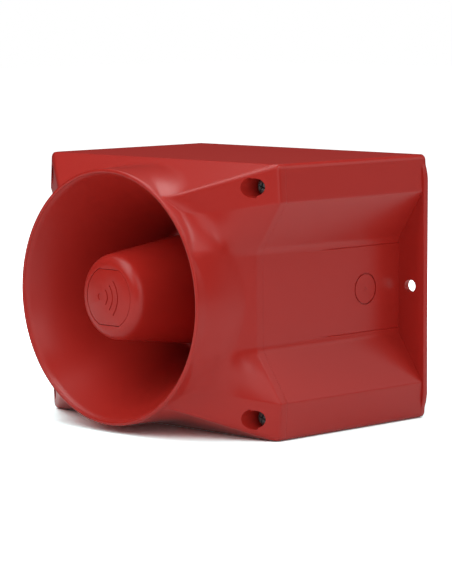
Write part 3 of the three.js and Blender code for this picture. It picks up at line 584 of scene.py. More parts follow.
# One quarter of the section at each station. Pocket floor, foot, rib edge, corner and top are the corners
# of a polyline. Each is rounded as in softPath, and every point is then pushed out to a smooth maximum of its
# own radius and the bell's, max + near^2 * blend / 4, so that the bell grows out of the corner wedges.
def quarterSection(forward, inset, y):
    t = np.clip(forward / proud, 0, 1)
    one = np.ones_like(t)
    side, top = lerp(halfWidth, creaseAt[0], t) - inset, lerp(halfHeight, creaseAt[1], t) - inset
    lean = inset * 0.3
    foot = shape["pocketFoot"] + lean
    mouth = lerp(shape["pocketMouth"], creaseAt[1] - shape["cornerFace"], t) + lean
    floor = floorX - shape["floorSink"] * t - inset
    tilt = np.array(shape["sideTilt"])[:, None] * (1 - t)
    knots = np.stack([
        np.stack([floor, 0 * one], axis=-1), np.stack([floor, foot * one], axis=-1),
        np.stack([side + tilt[0], mouth], axis=-1), np.stack([side + tilt[1], top], axis=-1),
        np.stack([0 * one, top], axis=-1),
    ], axis=1)
    rounding = np.stack([shape["footRound"] * one, shape["ribRound"] * one,
                         np.maximum(lerp(*shape["cornerRound"], t) - inset, 0.5)], axis=1)
    near = shape["grooveAt"] + np.array([-shape["grooveHalf"], 0.0, shape["grooveHalf"] * 0.98])
    straight = shape["pocketFoot"] - shape["footRound"]
    floorSamples = np.concatenate([np.linspace(0, 0.96, 13), near / straight])
    samples = [floorSamples, np.linspace(0, 1, 18, endpoint=False), np.linspace(0, 1, 12, endpoint=False),
               np.linspace(0, 1, 46, endpoint=False)]
    arcs = [7, 4, 8]
    runs = []
    enter = knots[:, 0]
    for i in range(1, 5):
        leave = knots[:, i]
        if i < 4:
            before, after = knots[:, i - 1] - knots[:, i], knots[:, i + 1] - knots[:, i]
            before /= np.linalg.norm(before, axis=1, keepdims=True)
            after /= np.linalg.norm(after, axis=1, keepdims=True)
            leave = knots[:, i] + before * rounding[:, i - 1, None]
            onward = knots[:, i] + after * rounding[:, i - 1, None]
        s = samples[i - 1][None, :, None]
        runs.append(enter[:, None] * (1 - s) + leave[:, None] * s)
        if i < 4:
            w = np.sin(0.5 * np.arccos(np.sum(before * after, axis=1)))[:, None, None]
            s = np.linspace(0, 1, arcs[i - 1], endpoint=False)[None, :, None]
            pull = 2 * w * s * (1 - s)
            arc = (1 - s) ** 2 * leave[:, None] + pull * knots[:, i, None] + s ** 2 * onward[:, None]
            runs.append(arc / ((1 - s) ** 2 + pull + s ** 2))
            enter = onward
    runs.append(knots[:, 4:5])
    points = np.concatenate(runs, axis=1)
    if np.ndim(inset) == 0 and inset == 0:
        early, late = shape["grooveFade"]
        fade = np.clip((y - early) / (late - early), 0, 1)[:, None] * (t[:, None] < 0.001)
        dip = np.clip(1 - np.abs(points[..., 1] - shape["grooveAt"]) / shape["grooveHalf"], 0, 1)
        points[..., 0] -= shape["grooveDepth"] * fade * dip * (points[..., 0] < floorX + 0.5)
    radius = np.linalg.norm(points, axis=-1)
    bell = (rimRadius + shape["bellTaper"] * (1 - t) - inset)[:, None] * np.ones_like(radius)
    blend = np.maximum(shape["valley"] * t ** 2 * (1 - t), 1e-6)[:, None]
    closeness = np.maximum(blend - np.abs(radius - bell), 0) / blend
    pushed = np.maximum(radius, bell) + closeness ** 2 * blend / 4
    return points * (pushed / radius)[..., None]


# The quarter mirrored to the whole section, as (stations, points, xyz).
def sectionRings(forward, inset, y):
    forward, y = np.broadcast_arrays(*np.atleast_1d(forward, y))
    forward, y = forward.astype(float), y.astype(float)
    inset = np.broadcast_to(np.asarray(inset, float), y.shape) if np.ndim(inset) else inset
    q = quarterSection(forward, inset, y)
    whole = np.concatenate([q, q[:, -2::-1] * [-1, 1], q[:, 1:] * [-1, -1], q[:, -2:0:-1] * [1, -1]], axis=1)
    depth = np.broadcast_to(y[:, None], whole.shape[:2])
    return np.stack([whole[..., 0], depth, whole[..., 1]], axis=-1)


# Rings of one radius each, at the same angles round the axis as a given ring.
def roundRings(like, radius, y):
    radius, y = np.broadcast_arrays(*np.atleast_1d(radius, y))
    angle = np.arctan2(like[:, 2], like[:, 0])[None, :]
    r = radius[:, None] * np.ones_like(angle)
    return np.stack([r * np.cos(angle), y[:, None] * np.ones_like(angle), r * np.sin(angle)], axis=-1)


# Front half: one closed grid that goes over the slope, round the rim's lip, down the horn, through the tube's
# hole, back over the bell and along the inside to the parting edge again.
horn = {
    "rimWall": 2.5,
    "throat": 42.0,
    "curve": 1.25,
    "lip": 1.2,               # rounding of the rim outside and inside
    "innerLip": 0.9,
    "floorFillet": 3.0,
    "tubeHole": 14.3,
    "seatRadius": 24.3,       # recess for the tube's flange, from behind
    "seatDepth": 1.0,
    "flange": 56.0,
    "flangeEdge": 0.4,
    "meeting": 7.0,           # where the bell's back meets the shell, behind the rim
}
hornFloorY = frontHigh[1] - shape["hornFloorWall"]
mouthRadius = rimRadius - horn["rimWall"]


# Inner radius of the horn: throat + (mouth - throat) (1 - u)^curve, u from 0 at the rim to 1 at the floor.
def hornRadius(y):
    u = np.clip((y - rimY) / (hornFloorY - rimY), 0, 1)
    return horn["throat"] + (mouthRadius - horn["throat"]) * (1 - u) ** horn["curve"]


def foldedForward(s):
    # a hinge with a soft corner: (s + sqrt(s^2 + softness^2)) / 2
    return (s + np.sqrt(s ** 2 + shape["foldSoftness"] ** 2)) / 2


def frontGrid():
    skirt, lip, inner = shape["skirt"], horn["lip"], horn["innerLip"]
    edge = 0.06
    s = np.concatenate([[-skirt + edge], np.linspace(-skirt + 1, -1.8, 3), np.linspace(-1.4, 1.4, 9),
                        np.linspace(2.2, proud - lip, 44)])
    rows = [sectionRings(0.0, edge, partingFront), sectionRings(foldedForward(s), 0, ridgeY - s)]
    like = rows[-1][-1]
    a = np.linspace(0, math.pi / 2, 6)[1:]
    rows.append(roundRings(like, rimRadius - lip * (1 - np.cos(a)), rimY + lip * (1 - np.sin(a))))
    a = np.linspace(math.pi / 2, 0, 6)
    rows.append(roundRings(like, mouthRadius + inner * (1 - np.cos(a)), rimY + inner * (1 - np.sin(a))))
    fillet = horn["floorFillet"]
    y = np.linspace(rimY + inner + 1, hornFloorY - fillet, 40)
    rows.append(roundRings(like, hornRadius(y), y))
    a = np.linspace(0, math.pi / 2, 7)[1:]
    base = hornRadius(hornFloorY - fillet)
    rows.append(roundRings(like, base - fillet * (1 - np.cos(a)), hornFloorY - fillet * (1 - np.sin(a))))
    hole, seat, flange, back = horn["tubeHole"], horn["seatRadius"], horn["flange"], frontHigh[1]
    rows.append(roundRings(like, [32, 24, 18, hole], hornFloorY))
    recess, soft = hornFloorY + horn["seatDepth"], horn["flangeEdge"]
    rows.append(roundRings(
        like, [hole, seat, seat, 34, 44, flange - soft, flange, flange, flange - soft],
        [recess, recess, back, back, back, back, back - soft, hornFloorY + soft, hornFloorY]))
    y = np.linspace(hornFloorY, rimY + horn["meeting"], 26)
    rows.append(roundRings(like, hornRadius(y) + horn["rimWall"], y))
    wall, full = shape["wall"], shape["wall"] + shape["ledge"]
    s = np.concatenate([np.linspace(proud - horn["meeting"], 2.2, 24), np.linspace(1.4, -1.4, 5),
                        [-skirt + shape["ledgeDepth"]]])
    rows.append(sectionRings(foldedForward(s), wall, ridgeY - s))
    rows.append(sectionRings(0.0, full, [partingFront - shape["ledgeDepth"], partingFront]))
    return np.concatenate(rows)


# Screw wells: two half circles of unequal radius meet in a step, on a seat with the screw's hole through it.
screwX = abs(middleMm("cover_screw_1")[0])
screwZ = abs(middleMm("cover_screw_1")[2])
well = {
    "large": 6.3,
    "small": 5.4,
    "split": (-75.0, 105.0),  # the small half lies between these directions, in degrees up from X
    "tubeWall": 2.3,
    "floor": 3.6,
    "hole": 2.7,
    "sink": 1.3,              # the boss's front end below the slope
}
seatY = partingFront - well["floor"]


def wellCutter(x, z):
    a = np.arange(128) * turn / 128
    low, high = np.radians(well["split"])
    inside = ((a - low) % turn) < (high - low)
    r = np.where(inside, well["small"], well["large"])
    rings = []
    for y, radius in ((rimY - 3, r), (seatY, r), (seatY, well["hole"]), (partingFront + 1, well["hole"])):
        rings.append(np.stack([x + radius * np.cos(a), y + 0 * a, z + radius * np.sin(a)], axis=-1))
    return ringSolid("cutter", rings)


# A boss whose front end follows the slope, which lies at ridge - proud * min(side share, top share).
def frontBoss(x, z):
    a = np.arange(72) * turn / 72
    r = well["large"] + well["tubeWall"]
    px, pz = x + r * np.cos(a), z + r * np.sin(a)
    sideShare = (halfWidth - np.abs(px)) / (halfWidth - creaseAt[0])
    topShare = (halfHeight - np.abs(pz)) / (halfHeight - creaseAt[1])
    front = ridgeY - proud * np.minimum(sideShare, topShare) + well["sink"]
    rings = [np.stack([px, front, pz], axis=-1), np.stack([px, 0 * a + partingFront - 0.04, pz], axis=-1)]
    return ringSolid("boss", rings)


def driverScrewPlaces():
    return [middleMm(f"driver_screw_{i}")[[0, 2]] for i in range(1, 5)]


def frontHousing():
    obj = ringSolid("front_housing_fine", frontGrid(), closed=True)
    weld(obj)
    places = [(sx * screwX, sz * screwZ) for sx, sz in corners]
    bosses = [frontBoss(x, z) for x, z in places]
    combineAll(obj, bosses, "UNION")
    cutters = [wellCutter(x, z) for x, z in places]
    cutters += [holeCutter(x, z, 2.0, hornFloorY + 1, frontHigh[1] + 1) for x, z in driverScrewPlaces()]
    combineAll(obj, cutters)
    return place(obj, "front", "red_plastic", "front_housing")


frontHousing()
print("front housing made")


# Rear half: a grid from the middle of the wall face, round the mounting flange's edge, along the body to the
# parting edge, over the gasket's ledge and back inside to the middle of the back wall.
rear = {
    "flange": 4.0,
    "flangeArc": 30.0,        # radius of the flange's curved-in ends, and their height
    "flangeEnd": 17.0,
    "edge": 0.5,
    "bossRadius": 8.5,
    "insertHole": 4.5,
    "insertDepth": 10.3,
    "screwHole": 2.7,
    "screwDepth": 20.0,
    "slot": (9.0, 7.5),       # width, height
    "slotInset": 11.5,
    "blank": 10.0,            # knock-out blank for a cable entry: radius, groove and depth
    "blankGroove": 0.9,
    "blankDepth": 0.8,
    "blankFromWall": 35.4,
    "dimple": [(0, -1.2), (1.1, -0.2), (1.1, 1.5), (0, 1.5)],  # drill start in the blank's middle
}
gasketLow, gasketHigh = boxMm("housing_gasket")
gasketTopY = gasketHigh[1] + 0.1


def rearGrid():
    flange, edge, wall = rear["flange"], rear["edge"], shape["wall"]
    base = sectionRings(0.0, 0, -flange)[0]
    height = np.maximum(np.abs(base[:, 2]) - (halfHeight - rear["flangeEnd"]), 0)
    arcX = rearHigh[0] - rear["flangeArc"] + np.sqrt(rear["flangeArc"] ** 2 - height ** 2)
    wide = np.where(np.abs(base[:, 0]) > 40, np.maximum(arcX, np.abs(base[:, 0])), np.abs(base[:, 0]))
    outline = base * [0, 1, 1]
    outline[:, 0] = np.sign(base[:, 0]) * wide
    stepOut = wide - np.abs(base[:, 0])
    soft = np.minimum(edge, stepOut * 0.5)
    side = np.sign(base[:, 0])

    def flat(points, y, shrink=0.0):
        ring = points * [1, 0, 1]
        length = np.linalg.norm(ring, axis=1, keepdims=True)
        return ring * (1 - shrink / length) + [0, y, 0]

    rows = [flat(outline, 0) * [k, 1, k] for k in (0.08, 0.3, 0.6, 0.85)]
    rows += [flat(outline, 0, edge), flat(outline, -0.15 * edge, 0.5 * edge), flat(outline, -edge)]
    for a in np.linspace(0, math.pi / 2, 4):
        ring = flat(outline, 0)
        ring[:, 0] -= side * soft * (1 - math.cos(a))
        ring[:, 1] = -flange + soft * (1 - math.sin(a))
        rows.append(ring)
    lipRing = rows[-1]
    rows += [lerp(lipRing, base, k) for k in (0.35, 0.7, 0.93)]
    grid = [np.array(rows)]
    y = np.concatenate([np.linspace(-flange, partingRear + 1, 44), [partingRear + 0.06]])
    grid.append(sectionRings(np.zeros(len(y)), 0, y))
    ledgeY, ledgeEnd = gasketTopY, gasketTopY + shape["ledgeDepth"]
    full = wall + shape["ledge"]
    grid.append(sectionRings(0.0, np.array([0.06, wall, wall, full, full, wall]),
                             [partingRear, partingRear, ledgeY, ledgeY, ledgeEnd, ledgeEnd]))
    y = np.linspace(ledgeEnd + 6, -flange, 16)
    grid.append(sectionRings(np.zeros(len(y)), wall, y))
    inside = grid[-1][-1]
    grid.append(np.array([inside * [k, 1, k] for k in (0.7, 0.4, 0.1)]))
    return np.concatenate(grid)


def obround(width, height, x, z=0.0):
    r = height / 2
    a = np.linspace(-math.pi / 2, math.pi / 2, 20)
    right = np.stack([x + (width - height) / 2 + r * np.cos(a), z + r * np.sin(a)], axis=-1)
    return np.vstack([right, right * [-1, -1] + [2 * x, 2 * z]])


def knockoutCutters(side):
    x = side * floorX
    r, groove, depth = rear["blank"], rear["blankGroove"], rear["blankDepth"]
    ring = lathe("cutter", ringProfile(r - groove, r, -depth, 2), segments=72)
    dimple = lathe("cutter", rear["dimple"], segments=24)
    return [turnToSide(cutter, side, x, -rear["blankFromWall"]) for cutter in (ring, dimple)]


def turnToSide(obj, side, x, y):
    # the lathe's Y axis is laid along X, outwards on that side
    laid = Matrix.Rotation(-side * math.pi / 2, 4, "Z")
    obj.data.transform(Matrix.Translation(Vector((x, y, 0)) * mm) @ laid)
    return obj


def rearHousing():
    obj = ringSolid("rear_housing_fine", rearGrid(), ends=[[0, 0, 0], [0, -rear["flange"], 0]])
    weld(obj)
    bosses, cutters = [], []
    y0, y1 = gasketTopY + 0.05, -rear["flange"] + 0.5
    wide, narrow = rear["insertHole"], rear["screwHole"]
    step, end = y0 + rear["insertDepth"], y0 + rear["screwDepth"]
    bore = [(0, y0 - 3), (wide, y0 - 3), (wide, step), (narrow, step), (narrow, end), (0, end)]
    for sx, sz in corners:
        x, z = sx * screwX, sz * screwZ
        boss = prism("boss", circle(rear["bossRadius"], x, z, 64), [(y0, 0), (y1, 0)])
        webLow, webHigh = sorted([sx * (screwX + 6), sx * (halfWidth - shape["wall"] + 0.6)])
        web = block((webLow, y0 + 0.3, z - 1), (webHigh, y1 - 0.1, z + 1))
        bosses.append(combine(boss, [web], "UNION"))
        cutters.append(lathe("cutter", bore, x, z, 48))
    combineAll(obj, bosses, "UNION")
    for side in (1, -1):
        x = side * (rearHigh[0] - rear["slotInset"])
        cutters.append(prism("cutter", obround(*rear["slot"], x), [(-rear["flange"] - 1, 0), (1, 0)]))
        cutters += knockoutCutters(side)
    combineAll(obj, cutters)
    return place(obj, "rear", "red_plastic", "rear_housing")


rearHousing()


def housingGasket():
    inner = shape["wall"] + 0.3
    outer = shape["wall"] + shape["ledge"]
    middle = (inner + outer) / 2
    y0, y1 = gasketLow[1], gasketHigh[1]
    rise = 0.3
    insets = np.array([inner, inner + rise, middle - 0.6, middle, middle + 0.6, outer - rise, outer, outer,
                       outer - rise, inner + rise, inner])
    depths = np.array([y0 + rise, y0, y0, y0 + 0.35, y0, y0, y0 + rise, y1 - rise, y1, y1, y1 - rise])
    obj = ringSolid("housing_gasket_fine", sectionRings(0.0, insets, depths), closed=True)
    return place(obj, "rear", "gasket_rubber", "housing_gasket")


housingGasket()
print("rear housing and gasket made")


# Horn cup: a turned shell with a wide rounded edge, a hub inside it and a recess for the badge in its face.
cup = {
    "edge": 7.5,
    "flare": 0.13,            # growth in radius for each mm of depth
    "wall": 2.5,
    "faceWall": 4.0,
    "hub": 5.5,
    "hole": 2.3,
    "head": 4.1,
    "badge": 19.0,
    "badgeFlat": 17.0,
    "badgeGap": 0.3,
    "badgeThickness": 1.6,
}
cupLow, cupHigh = boxMm("horn_cup")
tubeLow, tubeHigh = boxMm("tone_tube")


def badgeOutline(radius, flatHalf, segments=40):
    # a circle with its top and bottom cut flat
    cut = math.asin(flatHalf / radius)
    a = np.linspace(-cut, cut, segments)
    right = np.stack([radius * np.cos(a), radius * np.sin(a)], axis=-1)
    return np.vstack([right, right * [-1, -1]])


def hornCup():
    face, end = cupLow[1], cupHigh[1]
    edge, wall = cup["edge"], cup["wall"]
    open0 = cupHigh[0]
    front = open0 - cup["flare"] * (end - face - edge)
    a = np.linspace(0, math.pi / 2 - cup["flare"], 14)
    rounded = np.stack([front - edge + edge * np.sin(a), face + edge * (1 - np.cos(a))], axis=-1)
    inner = face + cup["faceWall"]
    innerEdge = edge - wall
    a = np.linspace(math.pi / 2 - cup["flare"], 0, 9)
    hollow = np.stack([front - wall - innerEdge + innerEdge * np.sin(a), inner + innerEdge * (1 - np.cos(a))],
                      axis=-1)
    hubEnd = tubeLow[1] - 0.3
    sides = np.linspace(rounded[-1], [open0, end - 0.5], 12)[1:]
    profile = np.vstack([
        [[cup["head"], face], [12, face]], rounded, sides, [[open0 - 0.4, end], [open0 - wall + 0.4, end]],
        np.linspace([open0 - wall, end - 0.5], hollow[0], 8)[:-1], hollow,
        [[cup["hub"] + 1, inner], [cup["hub"], inner + 1], [cup["hub"], hubEnd], [cup["hole"], hubEnd],
         [cup["hole"], face + 4.6], [cup["head"], face + 4.6]],
    ])
    obj = lathe("horn_cup_fine", profile, segments=160)
    gap = cup["badgeGap"]
    outline = badgeOutline(cup["badge"] + gap, cup["badgeFlat"] + gap)
    recess = prism("cutter", outline, [(face - 2, 0), (face + cup["badgeThickness"] + gap, 0)])
    combine(obj, [recess])
    return place(obj, "front", "red_plastic", "horn_cup")


# Badge: a thin plate with a plain motif sunk into it, three sound arcs beside a dot.
badge = {
    "bevel": [(0, 0.35), (0.1, 0.12), (0.35, 0)],  # depth behind the face, inset
    "motifX": -7.5,           # the dot, and the middle of the arcs
    "dot": 2.2,
    "arcs": (6.5, 11.0, 15.5),
    "arcHalf": 0.75,          # half of an arc's angle, in radians
    "arcWidth": 0.9,
    "sunk": 0.5,
}


def soundArc(radius, levels):
    half = badge["arcHalf"]
    a = np.concatenate([np.linspace(-half, half, 24), np.linspace(half, -half, 24)])
    r = radius + np.repeat([badge["arcWidth"] / 2, -badge["arcWidth"] / 2], 24)
    return prism("arc", np.stack([r * np.cos(a) + badge["motifX"], r * np.sin(a)], axis=-1), levels)


def badgePlate():
    low, high = boxMm("badge_plate")
    face = low[1]
    levels = [(face + depth, inset) for depth, inset in badge["bevel"]] + [(high[1], 0)]
    obj = prism("badge_plate_fine", badgeOutline(cup["badge"], cup["badgeFlat"]), levels)
    sunk = [(face - badge["sunk"], 0), (face + badge["sunk"], 0)]
    cutters = [soundArc(radius, sunk) for radius in badge["arcs"]]
    cutters.append(prism("dot", circle(badge["dot"], badge["motifX"], 0, 32), sunk))
    combineAll(obj, cutters)
    return place(obj, "front", "red_plastic", "badge_plate")


# Tone tube: a flanged sleeve, and a hub on three arms that takes the cup's screw.
tube = {
    "bore": 11.0,
    "outer": 14.0,
    "flangeThick": 2.7,
    "hub": 5.5,
    "hubLong": 8.0,
    "armHalf": 1.2,
    "screwHole": 2.3,
    "screwDepth": 6.5,
}


def toneTube():
    bore, outer, flange, half = tube["bore"], tube["outer"], tubeHigh[0], tube["armHalf"]
    y0, y1 = tubeLow[1], tubeHigh[1]
    seat = y1 - tube["flangeThick"]
    profile = [(bore, y0), (outer, y0), (outer, seat), (flange, seat), (flange, y1), (bore, y1)]
    obj = softLathe("tone_tube_fine", profile, 0.5)
    hub = softLathe("hub", ringProfile(0, tube["hub"], y0 + 0.1, y0 + tube["hubLong"]), segments=48)
    combine(obj, [hub], "UNION")
    for i in range(3):
        arm = block((4, y0 + 0.4, -half), (bore + 1, y0 + tube["hubLong"] - 0.4, half))
        combine(obj, [spun(arm, 120 * i + 90)], "UNION")
    hole = lathe("cutter", ringProfile(0, tube["screwHole"], y0 - 1, y0 + tube["screwDepth"]), segments=32)
    combine(obj, [hole])
    return place(obj, "front", "red_inside", "tone_tube")


hornCup()
badgePlate()
toneTube()
print("cup, badge and tone tube made")


# Screws along Y, heads at the front: a domed head, a shank and a helical thread,
# radius = core + depth * triangle(y / pitch - angle / turn).
# The shank is a share of the head's radius, and the recess has an arm, a half width and a depth.
screwKinds = {
    "cover": {"shank": 0.49, "headHeight": 4.2, "pitch": 1.6, "recess": (3.1, 0.55, 2.3)},
    "driver": {"shank": 0.7, "headHeight": 2.0, "pitch": 0.9, "recess": (1.5, 0.35, 1.0)},
    "board": {"shank": 0.53, "headHeight": 1.8, "pitch": 0.8, "recess": (1.8, 0.4, 0.9)},
    "cup": {"shank": 0.52, "headHeight": 2.2, "pitch": 0.9, "recess": (2.4, 0.45, 1.2)},
}


def screwMesh(name, kind, head, length):
    shank, headHeight, pitch = head * kind["shank"], kind["headHeight"], kind["pitch"]
    depth = 0.6 * pitch
    domed = softPath([(0, 0), (head * 0.55, 0), (head, headHeight * 0.42), (head, headHeight),
                      (shank, headHeight)], [head * 0.5, head * 0.3, 0.15], 5)
    along = np.arange(headHeight + 0.6, headHeight + length - 1.4, pitch / 8)
    profile = np.vstack([domed[:-1], [[shank, headHeight], [shank, headHeight + 0.5]],
                         np.stack([np.full(len(along), shank), along], axis=-1),
                         [[shank * 0.75, headHeight + length - 0.3], [shank * 0.55, headHeight + length],
                          [0, headHeight + length]]])
    first, last = along[0], along[-1]

    def thread(r, depthY, angle):
        phase = (depthY / pitch - angle / turn) % 1.0
        groove = np.abs(2 * phase - 1) ** 0.8
        fade = np.clip((depthY - first) / pitch, 0, 1) * np.clip((last - depthY) / pitch, 0, 1)
        return -depth * groove * fade * (np.abs(r - shank) < 1e-6)

    obj = lathe(name, profile, segments=40, wobble=thread)
    arm, half, deep = kind["recess"]
    quarter = np.array([[arm, -half], [arm, half], [half, half]])
    cross = np.vstack([quarter @ np.array([[c, s], [-s, c]]) for c, s in ((1, 0), (0, 1), (-1, 0), (0, -1))])
    cutter = prism("cutter", cross, [(-0.5, 0), (deep * 0.5, 0), (deep, arm * 0.45)])
    return combine(obj, [spun(cutter, 20)])


def screwAt(node, kind, body="front", finish="zinc_steel", backwards=False):
    # the head fills the node's width, the ends are the node's ends
    low, high = boxMm(node)
    x, _, z = (low + high) / 2
    length = high[1] - low[1] - screwKinds[kind]["headHeight"]
    obj = screwMesh(node + "_fine", screwKinds[kind], (high[2] - low[2]) / 2, length)
    if backwards:
        obj.data.transform(Matrix.Rotation(math.pi, 4, "Z"))
    obj.data.transform(Matrix.Translation(Vector((x, high[1] if backwards else low[1], z)) * mm))
    return place(obj, body, finish, node)


for i in range(1, 5):
    screwAt(f"cover_screw_{i}", "cover", f"screw_{i}", "black_steel")
    screwAt(f"driver_screw_{i}", "driver", backwards=True)
    screwAt(f"board_screw_{i}", "board", backwards=True)
screwAt("cup_screw", "cup")


# Threaded inserts: brass sleeves with straight knurling in two bands.
insert = {
    "hole": 2.7,
    "chamfer": 0.4,
    "neck": 0.5,              # how far the plain bands lie below the knurled ones
    "knurlDepth": 0.3,
    "knurls": 28,
}


def threadedInsert(i):
    low, high = boxMm(f"threaded_insert_{i}")
    x, _, z = (low + high) / 2
    r, hole, chamfer = (high[0] - low[0]) / 2, insert["hole"], insert["chamfer"]
    y = np.linspace(low[1], high[1], 15)
    bands = np.abs(np.sin(np.pi * 2 * (y - low[1]) / (high[1] - low[1]))) > 0.3
    outer = np.stack([r - np.where(bands, 0.0, insert["neck"]), y], axis=-1)
    profile = np.vstack([[[hole + chamfer, low[1]]], outer,
                         [[hole + chamfer, high[1]], [hole, high[1] - chamfer], [hole, low[1] + chamfer]]])

    def knurl(radius, depthY, angle):
        return -insert["knurlDepth"] * np.abs(np.sin(angle * insert["knurls"] / 2)) * (radius > r - 0.1)

    obj = lathe(f"threaded_insert_{i}_fine", profile, x, z, 112, knurl)
    return place(obj, "rear", "brass", f"threaded_insert_{i}")


for i in range(1, 5):
    threadedInsert(i)
print("screws and inserts made")


# Compression driver, front to back.
driver = {
    "screwHole": 2.0,
    "bore": 11.0,             # throat plate's bore
    "seat": 13.9,             # radius of the phase plug's seat, and the lip that holds it
    "lip": 1.2,
    "plugTip": 1.9,
    "plugFoot": 5.5,
    "plugRing": (12.2, 13.6, 1.9),  # inner and outer radius, height
    "rollWidth": 4.0,
    "film": 0.35,
    "folds": 36,
    "foldDepth": 0.12,
    "coilWall": 0.8,
    "coilTurns": 20,
    "wireBulge": 0.12,
    "pole": 18.1,
    "backPlate": 4.0,
    "coverWall": 1.5,
    "coverRing": (10.0, 24.0),  # the dished ring in the cover's end, and its depth
    "coverDish": 0.8,
}


def ringMesh(node, inner, radius=0.4):
    low, high = boxMm(node)
    return softLathe(node + "_fine", ringProfile(inner, high[0], low[1], high[1]), radius, segments=112)


def drilledRing(node, finish, inner):
    low, high = boxMm(node)
    obj = drill(ringMesh(node, inner), driverScrewPlaces(), driver["screwHole"], low[1] - 1, high[1] + 1)
    return place(obj, "front", finish, node)


def throatPlate():
    low, high = boxMm("throat_plate")
    y0, y1, r, bore, seat = low[1], high[1], high[0], driver["bore"], driver["seat"]
    ledge = y0 + driver["lip"]
    profile = [(bore, y0), (r, y0), (r, y1), (seat, y1), (seat, ledge), (bore, ledge)]
    obj = softLathe("throat_plate_fine", profile, segments=128)
    drill(obj, driverScrewPlaces(), driver["screwHole"], y0 - 1, y1 + 1)
    return place(obj, "front", "cast_aluminium", "throat_plate")


def phasePlug():
    low, high = boxMm("phase_plug")
    y0 = low[1]
    profile = [(0, y0), (driver["plugTip"], y0 + 0.5), (driver["plugFoot"], high[1]), (0, high[1])]
    obj = lathe("phase_plug_fine", softPath(profile, [1, 0.4]), segments=64)
    inner, outer, tall = driver["plugRing"]
    ring = softLathe("ring", ringProfile(inner, outer, y0, y0 + tall), 0.2, segments=80)
    combine(obj, [ring], "UNION")
    for i in range(3):
        combine(obj, [spun(block((1.5, y0 + 0.6, -0.7), (12.9, y0 + 1.6, 0.7)), 120 * i)], "UNION")
    return place(obj, "front", "black_plastic", "phase_plug")


# The dome and its roll: y = dome * (r / edge)^2, then a half wave with radial folds in the roll.
def diaphragm():
    low, high = boxMm("diaphragm")
    edge, outer = high[0] - driver["rollWidth"], high[0]
    r = np.concatenate([np.linspace(0, edge, 14), np.linspace(edge, outer, 12)[1:]])
    rise = high[1] - low[1] - 0.5

    def roll(radius):
        return np.sin(np.pi * np.clip((radius - edge) / (outer - edge), 0, 1))

    y = low[1] + np.where(r <= edge, rise * (r / edge) ** 2, rise - 0.6 * roll(r))
    front = np.stack([r, y], axis=-1)
    profile = np.vstack([front, front[::-1] + [0, driver["film"]]])

    def folds(radius, depthY, angle):
        return driver["foldDepth"] * np.sin(angle * driver["folds"]) * roll(radius)

    obj = lathe("diaphragm_fine", profile, segments=216, wobble=folds)
    return place(obj, "driver_motor", "diaphragm_film", "diaphragm")


def voiceCoil():
    # wound wire: the outside is a row of half rounds
    low, high = boxMm("voice_coil")
    inner, outer = high[0] - driver["coilWall"], high[0] - driver["wireBulge"]
    y = np.linspace(low[1], high[1], 81)
    share = (y - low[1]) / (high[1] - low[1])
    bulge = driver["wireBulge"] * np.abs(np.sin(np.pi * driver["coilTurns"] * share))
    wound = np.stack([outer + bulge, y], axis=-1)
    profile = np.vstack([wound, [[inner, high[1]], [inner, low[1]]]])
    return place(lathe("voice_coil_fine", profile, segments=72), "driver_motor", "copper_wire", "voice_coil")


def polePiece():
    low, high = boxMm("pole_piece")
    pole, plate, back = driver["pole"], high[0], high[1] - driver["backPlate"]
    profile = [(0, low[1]), (pole, low[1]), (pole, back), (plate, back), (plate, high[1]), (0, high[1])]
    return place(softLathe("pole_piece_fine", profile, 0.5), "front", "zinc_steel", "pole_piece")


def driverCover():
    low, high = boxMm("driver_cover")
    r, end, wall = high[0], high[1], driver["coverWall"]
    inner, outer = driver["coverRing"]
    dish = end - driver["coverDish"]
    profile = [(0, end), (inner, end), (inner + 1.5, dish), (outer - 1.5, dish), (outer, end - 0.1),
               (r, end - 0.1), (r, low[1]), (r - wall, low[1]), (r - wall, dish - wall), (0, dish - wall)]
    obj = softLathe("driver_cover_fine", profile, [0.5, 0.4, 0.4, 0.5, 2.2, 0.4, 0.4, 1.2], segments=128)
    combine(obj, [block((-9, end - 7, r - 9), (9, end + 1, r - 3.5))])
    return place(obj, "front", "black_plastic", "driver_cover")


place(ringMesh("driver_gasket", 13.0, 0.3), "front", "gasket_rubber", "driver_gasket")
throatPlate()
phasePlug()
drilledRing("chamber_ring", "black_plastic", 24.8)
diaphragm()
voiceCoil()
drilledRing("top_plate", "zinc_steel", 20.7)
place(ringMesh("magnet", 24.0, 0.9), "front", "ferrite", "magnet")
polePiece()
driverCover()
print("driver made")


# Circuit board, and what stands on its back.
board = {
    "pillarHole": 2.1,
    "landRadius": 3.6,
    "leadHole": 1.4,
    "leadRadius": 1.1,
    "pillarThread": 1.75,     # radius, and depth from the back
    "threadDepth": 9.0,
    "pinPitch": 2.54,
}
boardLow, boardHigh = boxMm("circuit_board")
onBoard = boardHigh[1] + 0.3


def along(levels, outline):
    # an outline of [y, z] points at each x
    return [np.stack([np.full(len(outline), x), outline[:, 0], outline[:, 1]], axis=-1) for x in levels]


def solderJoint(x, z):
    y = boardLow[1]
    profile = [(0, y - 0.9), (0.3, y - 0.85), (0.45, y - 0.45), (1.0, y + 0.1), (0, y + 0.15)]
    return lathe("joint", profile, x, z, 16)


